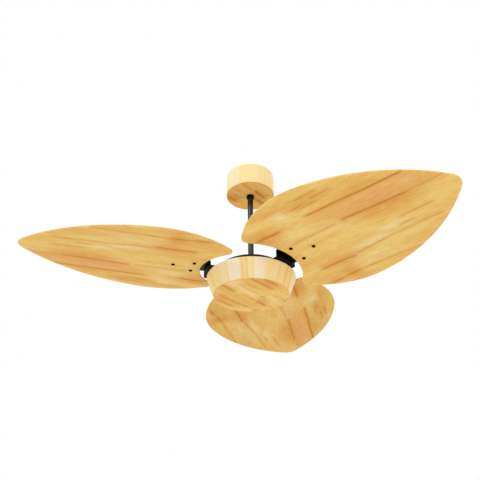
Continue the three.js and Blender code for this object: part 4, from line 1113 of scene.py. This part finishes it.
class FAN_OT_irons(Operator):
    """Adds the three black blade irons, bent from sheet"""

    bl_idname = "leaf_fan.irons"
    bl_label = "Blade Irons"

    ACROSS = 24
    BEND_STEPS = 5
    PLATE_STEPS = 6
    END_STEPS = 14
    END_GAP = math.radians(5)  # the grid stops here before the rounded end's tip

    def execute(self, context):
        settings = context.scene.leaf_fan
        for number in BLADE_NUMBERS:
            bm = self.bent_sheet(settings)
            bmesh.ops.transform(bm, matrix=blade_turn(number), verts=bm.verts)
            piece = as_object(bm, f"bent_iron_{number}", "black_paint")
            thick = piece.modifiers.new("Thickness", "SOLIDIFY")
            thick.thickness = settings.iron.sheet
            thick.offset = 0
            thick.use_even_offset = True
            soften_edges(piece, settings.iron.edge_round)
            dress(piece, "rotor", "black_paint", f"blade_iron_{number}")
        return {"FINISHED"}

    def stations(self, sizes):
        """The sheet's middle line, from the base's inner edge to the blade plate's end.

        Each station is (distance from the axis, height over its plate, half width, on the plate).
        """
        web = sizes.web_radius - sizes.sheet / 2
        bend = sizes.bend
        wide = sizes.half_width
        quarters = [math.pi / 2 * i / self.BEND_STEPS for i in range(self.BEND_STEPS + 1)]
        steps = [i / self.PLATE_STEPS for i in range(self.PLATE_STEPS)]
        run = web - bend - sizes.inner_radius
        rows = [(sizes.inner_radius + run * step, 0, wide, False) for step in steps]
        for q in quarters:
            rows.append((web - bend + bend * math.sin(q), bend * (1 - math.cos(q)), wide, False))
        for q in quarters:
            rows.append((web + bend - bend * math.cos(q), -bend * (1 - math.sin(q)), wide, True))
        for step in steps[1:]:
            rows.append((web + bend + (sizes.shoulder - web - bend) * step, 0, wide, True))
        rows.append((sizes.shoulder, 0, wide, True))
        first = math.pi / 2 - self.taper(sizes)
        last = self.END_GAP
        for i in range(self.END_STEPS + 1):
            swing = first + (last - first) * i / self.END_STEPS
            reach = sizes.end_centre + sizes.end_round * math.cos(swing)
            rows.append((reach, 0, sizes.end_round * math.sin(swing), True))
        return rows

    def taper(self, sizes):
        """The angle between the blade plate's middle line and its tapering side."""
        run = sizes.end_centre - sizes.shoulder
        slant = math.hypot(run, sizes.half_width)
        return math.atan2(sizes.half_width, run) - math.asin(sizes.end_round / slant)

    def bent_sheet(self, settings):
        """The sheet's middle surface.

        Up to the web its rows are arcs round the axis, and from the shoulder on they are straight.
        """
        sizes = settings.iron
        rows = self.stations(sizes)
        web = sizes.web_radius
        base = Matrix.Translation((0, 0, sizes.base + sizes.sheet / 2))
        plate = blade_place(settings, 1) @ Matrix.Translation((0, 0, sizes.sheet / 2))
        bm = bmesh.new()
        last = len(rows) - 1
        bmesh.ops.create_grid(bm, x_segments=last, y_segments=self.ACROSS, size=0.5, calc_uvs=False)
        for corner in bm.verts:
            reach, height, half_width, on_plate = rows[round((corner.co.x + 0.5) * last)]
            across = corner.co.y * 2 * half_width
            arc_radius = min(reach, web)
            curved = min(1, max(0, (sizes.shoulder - reach) / (sizes.shoulder - web)))
            sag = (math.sqrt(arc_radius**2 - across**2) - arc_radius) * curved
            spot = Vector((reach + sag, across, height))
            corner.co = (plate if on_plate else base) @ spot
        bmesh.ops.recalc_face_normals(bm, faces=bm.faces)
        return bm


# ---- Screws ----


class FAN_OT_screws(Operator):
    """Adds the pan-head screws of the blades, the irons and the motor's cover"""

    bl_idname = "leaf_fan.screws"
    bl_label = "Screws"

    KINDS = ("blade_screw", "iron_screw", "cover_screw")
    HEAD_STEPS = 32
    TAIL = 1.5 * MM  # how far a blade's screw stands out of its iron
    RECESS_TAPER = 0.6

    def execute(self, context):
        settings = context.scene.leaf_fan
        for node in sorted(frame["nodes"]):
            if node.startswith(self.KINDS):
                self.add_screw(settings, node)
        return {"FINISHED"}

    def add_screw(self, settings, node):
        """Models one screw along its own axis and puts it where its CAD node is."""
        sizes, blade = settings.screw, settings.blade
        low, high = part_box(node)
        middle = (low + high) / 2
        if node.startswith("blade_screw"):
            finish = "black_paint"
            shank = blade.thickness + 2 * blade.seat + settings.iron.sheet + self.TAIL
            place = self.blade_screw_place(settings, int(node[-2]), "abc".index(node[-1]))
        else:
            finish = "zinc_steel"
            shank = high.z - low.z - sizes.head_height
            place = Matrix.Translation((middle.x, middle.y, high.z - sizes.head_height))
        piece = self.screw(sizes, shank, f"turned_{node}", finish)
        piece.data.transform(place)
        dress(piece, "rotor", finish, node)

    def blade_screw_place(self, settings, number, index):
        """From a screw's own frame, head up, to its place head down under the blade."""
        along, across = FAN_OT_blades.SCREW_PLACES[index]
        under = -2 * settings.blade.seat - settings.blade.thickness
        seat = Matrix.Translation((along * MM, across * MM, under))
        return blade_place(settings, number) @ seat @ Matrix.Rotation(math.pi, 4, "X")

    def screw(self, sizes, shank, name, material):
        """A pan-head screw: the head stands above z = 0 and the threaded shank hangs below."""
        head = sizes.head_radius
        crest = sizes.shank_radius
        root = crest - sizes.thread_depth
        pitch = sizes.thread_pitch
        turns = int(shank / pitch)
        corners = [(0, -shank, 0)]
        for i in range(turns):
            corners += [(root, i * pitch - shank, 0), (crest, (i + 0.5) * pitch - shank, 0)]
        corners += [
            (root, turns * pitch - shank, 0),
            (root, 0, 0),
            (head, 0, 0),
            (head, sizes.head_height, sizes.head_round),
            (0, sizes.head_height, 0),
        ]
        piece = turned_piece(name, corners, self.HEAD_STEPS, material)
        return combined(piece, self.recess(sizes), "DIFFERENCE")

    def recess(self, sizes):
        """The tapering cross that a driver's tip fills."""
        reach, half = sizes.recess_length / 2, sizes.recess_width / 2
        arm = [(half, half), (half, reach), (-half, reach)]
        cross = []
        for quarter in range(4):
            spun = Matrix.Rotation(quarter * math.pi / 2, 2)
            cross += [spun @ Vector(corner) for corner in arm]
        bm = bmesh.new()
        floor = sizes.head_height - sizes.recess_depth
        lower = prism(bm, cross, floor, floor + sizes.recess_depth * 2)
        bmesh.ops.scale(bm, verts=lower, vec=(self.RECESS_TAPER, self.RECESS_TAPER, 1))
        return as_object(bm, "recess_tool")


# ---- Drum and canopy ----

MITRE_GAP = 0.12 * MM


def mitred_cup(sizes, top_radius, bottom_radius, rim_round):
    """Profiles of a wooden ring and the disc under it, mitred where they meet.

    Returns the ring's corners and the disc's two outer corners.
    """
    lean = (top_radius - bottom_radius) / (sizes.rim - sizes.underside)
    mitre = sizes.underside + sizes.floor
    inner_at_mitre = bottom_radius + lean * sizes.floor - sizes.wall
    edge = bottom_radius - sizes.edge_round
    ring = [
        (edge, sizes.underside, 0),
        (bottom_radius, sizes.underside, sizes.edge_round * 0.9),
        (top_radius, sizes.rim, rim_round),
        (top_radius - sizes.wall, sizes.rim, rim_round / 2),
        (inner_at_mitre, mitre, 0),
    ]
    return ring, [(edge - MITRE_GAP, sizes.underside, 0), (inner_at_mitre - MITRE_GAP, mitre, 0)]


def add_cup(cup, body, ring, disc, steps):
    """Puts a wooden ring and the disc under it on their body."""
    piece = turned_piece(f"wooden_{cup}_ring", ring, steps, f"{cup}_side")
    dress(piece, body, "stave_wood", f"{cup}_ring")
    piece = turned_piece(f"wooden_{cup}_disc", disc, steps, f"{cup}_disc")
    dress(piece, body, "disc_wood", f"{cup}_disc")


class FAN_OT_drum(Operator):
    """Adds the tapered wooden drum under the motor"""

    bl_idname = "leaf_fan.drum"
    bl_label = "Drum"

    HOLE_ROUND = 0.3 * MM

    def execute(self, context):
        settings = context.scene.leaf_fan
        sizes = settings.drum
        radii = (sizes.top_radius, sizes.bottom_radius)
        ring, outside = mitred_cup(sizes, *radii, sizes.rim_round)
        hole, hole_floor = sizes.insert_hole, sizes.underside + sizes.insert_floor
        disc = [
            (0, sizes.underside, 0),
            *outside,
            (hole, sizes.underside + sizes.floor, self.HOLE_ROUND),
            (hole, hole_floor, 0),
            (0, hole_floor, 0),
        ]
        add_cup("drum", "hung_rod", ring, disc, settings.steps)
        return {"FINISHED"}


class FAN_OT_canopy(Operator):
    """Adds the round wooden canopy and its black collar"""

    bl_idname = "leaf_fan.canopy"
    bl_label = "Canopy"

    COLLAR_STEPS = 72
    GROOVE_DROP = 1.8 * MM  # from the collar's top to the groove's lower end
    GROOVE_ROUND = 0.15 * MM
    BORE_ROUND = 0.5 * MM
    TOP_ROUND = 0.3 * MM
    SCREW_HOLE = 2.2 * MM

    def execute(self, context):
        settings = context.scene.leaf_fan
        sizes = settings.canopy
        ring, outside = mitred_cup(sizes, sizes.radius, sizes.radius, sizes.edge_round)
        bore = sizes.rod_radius + sizes.clearance
        disc = [(bore, sizes.underside, 0), *outside, (bore, sizes.underside + sizes.floor, 0)]
        add_cup("canopy", "canopy", ring, disc, settings.steps)
        self.add_collar(sizes, bore)
        return {"FINISHED"}

    def add_collar(self, sizes, bore):
        top, bottom = highest("canopy_collar"), lowest("canopy_collar")
        outer, groove = sizes.collar_radius, sizes.collar_groove
        groove_foot = top - self.GROOVE_DROP
        corners = [
            (bore, bottom, self.BORE_ROUND),
            (outer, bottom, sizes.collar_round),
            (outer, groove_foot, self.GROOVE_ROUND),
            (outer - groove, groove_foot + groove, 0),
            (outer, groove_foot + 2 * groove, self.GROOVE_ROUND),
            (outer, top, self.TOP_ROUND),
            (bore, top, 0),
        ]
        piece = turned_piece("turned_collar", corners, self.COLLAR_STEPS, "collar_paint")
        middle = (top + bottom) / 2
        drill(piece, self.SCREW_HOLE, (0, 0, middle), (0, 1, 0), outer * 2)
        dress(piece, "canopy", "black_paint", "canopy_collar")


# ---- Downrod, coupling and motor ----


class FAN_OT_downrod(Operator):
    """Adds the black downrod with its eye"""

    bl_idname = "leaf_fan.downrod"
    bl_label = "Downrod"

    STEPS = 64
    NECK = 1.5 * MM  # how far under the eye's bore the tube ends
    INNER_ROUND, OUTER_ROUND, EYE_ROUND = 0.2 * MM, 0.4 * MM, 0.6 * MM

    def execute(self, context):
        settings = context.scene.leaf_fan
        sizes = settings.canopy
        pivot = -sizes.pivot_drop
        outer, inner = sizes.rod_radius, sizes.rod_radius - sizes.rod_wall
        foot, neck = lowest("downrod"), pivot - sizes.eye_bore - self.NECK
        tube = [(inner, foot, self.INNER_ROUND), (outer, foot, self.OUTER_ROUND)]
        tube += [(outer, neck, 0), (inner, neck, 0)]
        rod = turned_piece("black_downrod", tube, self.STEPS, "rod_paint")
        half = sizes.eye_width / 2
        bore, rim = sizes.eye_bore, sizes.eye_radius
        places = ((bore, -half), (rim, -half), (rim, half), (bore, half))
        eye = bmesh.new()
        turned(eye, [(*place, self.EYE_ROUND) for place in places], self.STEPS)
        bmesh.ops.rotate(eye, matrix=Matrix.Rotation(math.pi / 2, 3, "X"), verts=eye.verts)
        bmesh.ops.translate(eye, vec=(0, 0, pivot), verts=eye.verts)
        combined(rod, as_object(eye, "eye_tool"), "UNION")
        lead_hole = (0, 0, pivot - settings.motor.lead_drop)
        drill(rod, settings.motor.lead_hole, lead_hole, (0, 1, 0), outer * 2)
        drill(rod, *cross_hole(settings))
        dress(rod, "hung_rod", "black_paint", "downrod")
        return {"FINISHED"}


def cross_hole(settings):
    """The hole of the bolt through coupling and rod: its radius, start, direction and reach."""
    sizes = settings.motor
    height = highest("shaft_coupling") - sizes.bolt_drop
    reach = 4 * sizes.coupling_radius
    return sizes.bolt_hole, (-reach / 2, 0, height), (1, 0, 0), reach


class FAN_OT_motor(Operator):
    """Adds the motor's two black covers and the coupling above them"""

    bl_idname = "leaf_fan.motor"
    bl_label = "Motor Covers"

    VENTS, VENT_STEPS = 6, 12
    EARS, EAR_STEPS = 3, 16
    COUPLING_STEPS = 96
    SMALL = 0.2 * MM
    RIM = 1 * MM  # a narrow flat ring beside each rounded edge keeps the wide faces' shading flat

    def execute(self, context):
        settings = context.scene.leaf_fan
        sizes = settings.motor
        top_tools = (
            (self.ears(sizes), "UNION"),
            (self.vents(sizes), "DIFFERENCE"),
            (self.holes(sizes, False), "DIFFERENCE"),
        )
        self.add_cover("top", self.top_profile(sizes), settings.steps, top_tools)
        bottom_tools = ((self.holes(sizes, True), "DIFFERENCE"),)
        self.add_cover("bottom", self.bottom_profile(sizes), settings.steps, bottom_tools)
        profile = self.coupling_profile(settings)
        coupling = turned_piece("turned_coupling", profile, self.COUPLING_STEPS, "black_paint")
        drill(coupling, *cross_hole(settings))
        dress(coupling, "hung_rod", "black_paint", "shaft_coupling")
        return {"FINISHED"}

    def add_cover(self, side, profile, steps, tools):
        """Turns one of the two covers and joins its tools on or cuts them out."""
        cover = turned_piece(f"spun_{side}_cover", profile, steps, "motor_black")
        for tool, operation in tools:
            combined(cover, tool, operation)
        dress(cover, "rotor", "motor_black", f"rotor_{side}_cover")

    def inside(self, sizes, floor, seat_end, ledge):
        """A cover's inner corners, from its hole outwards: the bearing's seat and the ledge."""
        hole, seat, small = sizes.hole_radius, sizes.seat_radius, self.SMALL
        seat_outer, inner = seat + sizes.seat_wall, sizes.radius - sizes.sheet
        return [
            (hole, floor, 0),
            (seat, floor, 0),
            (seat, seat_end, small),
            (seat_outer, seat_end, small),
            (seat_outer, floor, 2 * small),
            (inner - sizes.ledge, floor, 2 * small),
            (inner - sizes.ledge, ledge, small),
            (inner, ledge, small),
        ]

    def top_profile(self, sizes):
        top, edge = highest("rotor_top_cover"), lowest("rotor_top_cover")
        ledge = highest("rotor_core") + sizes.gap
        hole, outer, small = sizes.hole_radius, sizes.radius, self.SMALL
        return [
            *self.inside(sizes, top - sizes.roof, lowest("upper_bearing_outer"), ledge),
            (outer - sizes.sheet, edge, small),
            (outer, edge, small),
            (outer, top, sizes.top_round),
            (outer - sizes.top_round - self.RIM, top, 0),
            (hole + self.RIM, top, 0),
            (hole, top, 2 * small),
        ]

    def bottom_profile(self, sizes):
        bottom, top = lowest("rotor_bottom_cover"), highest("rotor_bottom_cover")
        ledge = lowest("rotor_core") - sizes.gap
        inside = self.inside(sizes, bottom + sizes.roof, highest("lower_bearing_outer"), ledge)
        hole, outer, small = sizes.hole_radius, sizes.radius, self.SMALL
        flange, flange_bottom = sizes.flange_radius, top - sizes.flange_sheet
        return [
            (hole, bottom, 2 * small),
            (hole + self.RIM, bottom, 0),
            (outer - sizes.bottom_round - self.RIM, bottom, 0),
            (outer, bottom, sizes.bottom_round),
            (outer, flange_bottom, 3 * small),
            (flange, flange_bottom, 3 * small),
            (flange, top, 3 * small),
            (flange - self.RIM, top, 0),
            (outer - sizes.sheet + self.RIM, top, 0),
            (outer - sizes.sheet, top, small),
            *reversed(inside),
        ]

    def coupling_profile(self, settings):
        """The coupling's section: a socket for the rod above and one for the shaft below."""
        sizes = settings.motor
        top, bottom = highest("shaft_coupling"), lowest("shaft_coupling")
        floor = top - sizes.socket_depth
        shelf = floor - sizes.coupling_web
        outer, inset = sizes.coupling_radius, sizes.coupling_radius - sizes.coupling_chamfer
        chamfer, passage, small = sizes.coupling_chamfer, sizes.wire_passage, self.SMALL
        socket = settings.canopy.rod_radius + sizes.gap
        return [
            (passage, shelf, 0),
            (sizes.shaft_socket, shelf, 0),
            (sizes.shaft_socket, bottom, small),
            (inset, bottom, small),
            (outer, bottom + chamfer, small),
            (outer, top - chamfer, small),
            (inset, top, small),
            (socket, top, small),
            (socket, floor, 0),
            (passage, floor, 0),
        ]

    def around(self, outline, count):
        """An outline repeated round the axis, starting half a step after the first blade."""
        turns = [Matrix.Rotation((2 * i + 1) * math.pi / count, 2) for i in range(count)]
        return [[spun @ point for point in outline] for spun in turns]

    def ears(self, sizes):
        """The three lugs that stand on the lower cover's flange."""
        root, half = sizes.radius - sizes.sheet / 2, sizes.ear_radius
        end = arc((sizes.screw_circle, 0), half, -math.pi / 2, math.pi / 2, self.EAR_STEPS)
        outline = [Vector((root, -half)), *end, Vector((root, half))]
        base = lowest("rotor_top_cover")
        return prisms("ears_tool", self.around(outline, self.EARS), base, base + sizes.sheet)

    def vents(self, sizes):
        """Six slots with round ends in the upper cover's roof."""
        half, quarter, steps = sizes.vent_width / 2, math.pi / 2, self.VENT_STEPS
        outline = arc((sizes.vent_outer - half, 0), half, -quarter, quarter, steps)
        outline += arc((sizes.vent_inner + half, 0), half, quarter, 3 * quarter, steps)
        top, outlines = highest("rotor_top_cover"), self.around(outline, self.VENTS)
        return prisms("vents_tool", outlines, top - 2 * sizes.roof, top + sizes.roof)

    def holes(self, sizes, with_irons):
        """The screw holes of the ears and, in the lower cover, of the irons."""
        ears = self.around([Vector((sizes.screw_circle, 0))], self.EARS)
        places = [outline[0] for outline in ears]
        if with_irons:
            spread = sizes.iron_screw_spread
            reach = math.sqrt(sizes.screw_circle**2 - spread**2)
            for number in BLADE_NUMBERS:
                spun = blade_turn(number).to_2x2()
                places += [spun @ Vector((reach, side * spread)) for side in (-1, 1)]
        rings = [circle(place, sizes.screw_hole) for place in places]
        base = lowest("rotor_top_cover")
        return prisms("holes_tool", rings, base - 3 * sizes.sheet, base + 3 * sizes.sheet)


class FAN_OT_carried(Operator):
    """Gives every CAD piece that keeps its own shape a softened edge and a finish"""

    bl_idname = "leaf_fan.carried"
    bl_label = "Carried Pieces"

    OWN_FINISH = {"run_capacitor": "capacitor_case"}
    FLAT_ANGLE = math.radians(1)
    EDGE_ROUND = 0.25 * MM

    def execute(self, context):
        slots = {row["node"]: row["material_slot"] for row in frame["record"]["subparts"]}
        for name, node in frame["nodes"].items():
            if not node.hide_render:
                self.soften(name, node, slots[name])
        return {"FINISHED"}

    def soften(self, name, node, slot):
        """A copy of a CAD node with merged corners and small bevels."""
        bm = bmesh.new()
        bm.from_mesh(node.data)
        bmesh.ops.remove_doubles(bm, verts=bm.verts, dist=SAME_PLACE)
        bmesh.ops.dissolve_limit(
            bm,
            angle_limit=self.FLAT_ANGLE,
            verts=bm.verts,
            edges=bm.edges,
            use_dissolve_boundaries=False,
        )
        piece = as_object(bm, f"finished_{name}", self.OWN_FINISH.get(name, slot))
        soften_edges(piece, self.EDGE_ROUND)
        dress(piece, node["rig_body"], slot, name)


# ---- Panel and registration ----


class FAN_PT_sidebar(Panel):
    """Lists the fan's pieces in the sidebar"""

    bl_idname = "FAN_PT_sidebar"
    bl_label = "Ceiling Fan"
    bl_space_type = "VIEW_3D"
    bl_region_type = "UI"
    bl_category = "Ceiling Fan"

    def draw(self, context):
        for operator in OPERATORS:
            self.layout.operator(operator.bl_idname)
        settings = context.scene.leaf_fan
        for group in (name for name in settings.__annotations__ if name != "steps"):
            box = self.layout.box()
            box.label(text=group.title())
            sizes = getattr(settings, group)
            for name in sizes.__annotations__:
                box.prop(sizes, name)


SIZES = (BladeSizes, IronSizes, ScrewSizes, DrumSizes, CanopySizes, MotorSizes)
OPERATORS = (
    FAN_OT_stage, FAN_OT_blades, FAN_OT_irons, FAN_OT_screws, FAN_OT_drum,
    FAN_OT_canopy, FAN_OT_downrod, FAN_OT_motor, FAN_OT_carried,
)
CLASSES = (*SIZES, WoodColours, StageSettings, FanSettings, *OPERATORS, FAN_PT_sidebar)


def register():
    for cls in CLASSES:
        bpy.utils.register_class(cls)
    bpy.types.Scene.leaf_fan = PointerProperty(type=FanSettings)


def unregister():
    del bpy.types.Scene.leaf_fan
    for cls in reversed(CLASSES):
        bpy.utils.unregister_class(cls)


def main():
    register()
    make_materials(bpy.context.scene.leaf_fan)
    for operator in OPERATORS:
        group, name = operator.bl_idname.split(".")
        getattr(getattr(bpy.ops, group), name)()


if __name__ == "__main__":
    main()
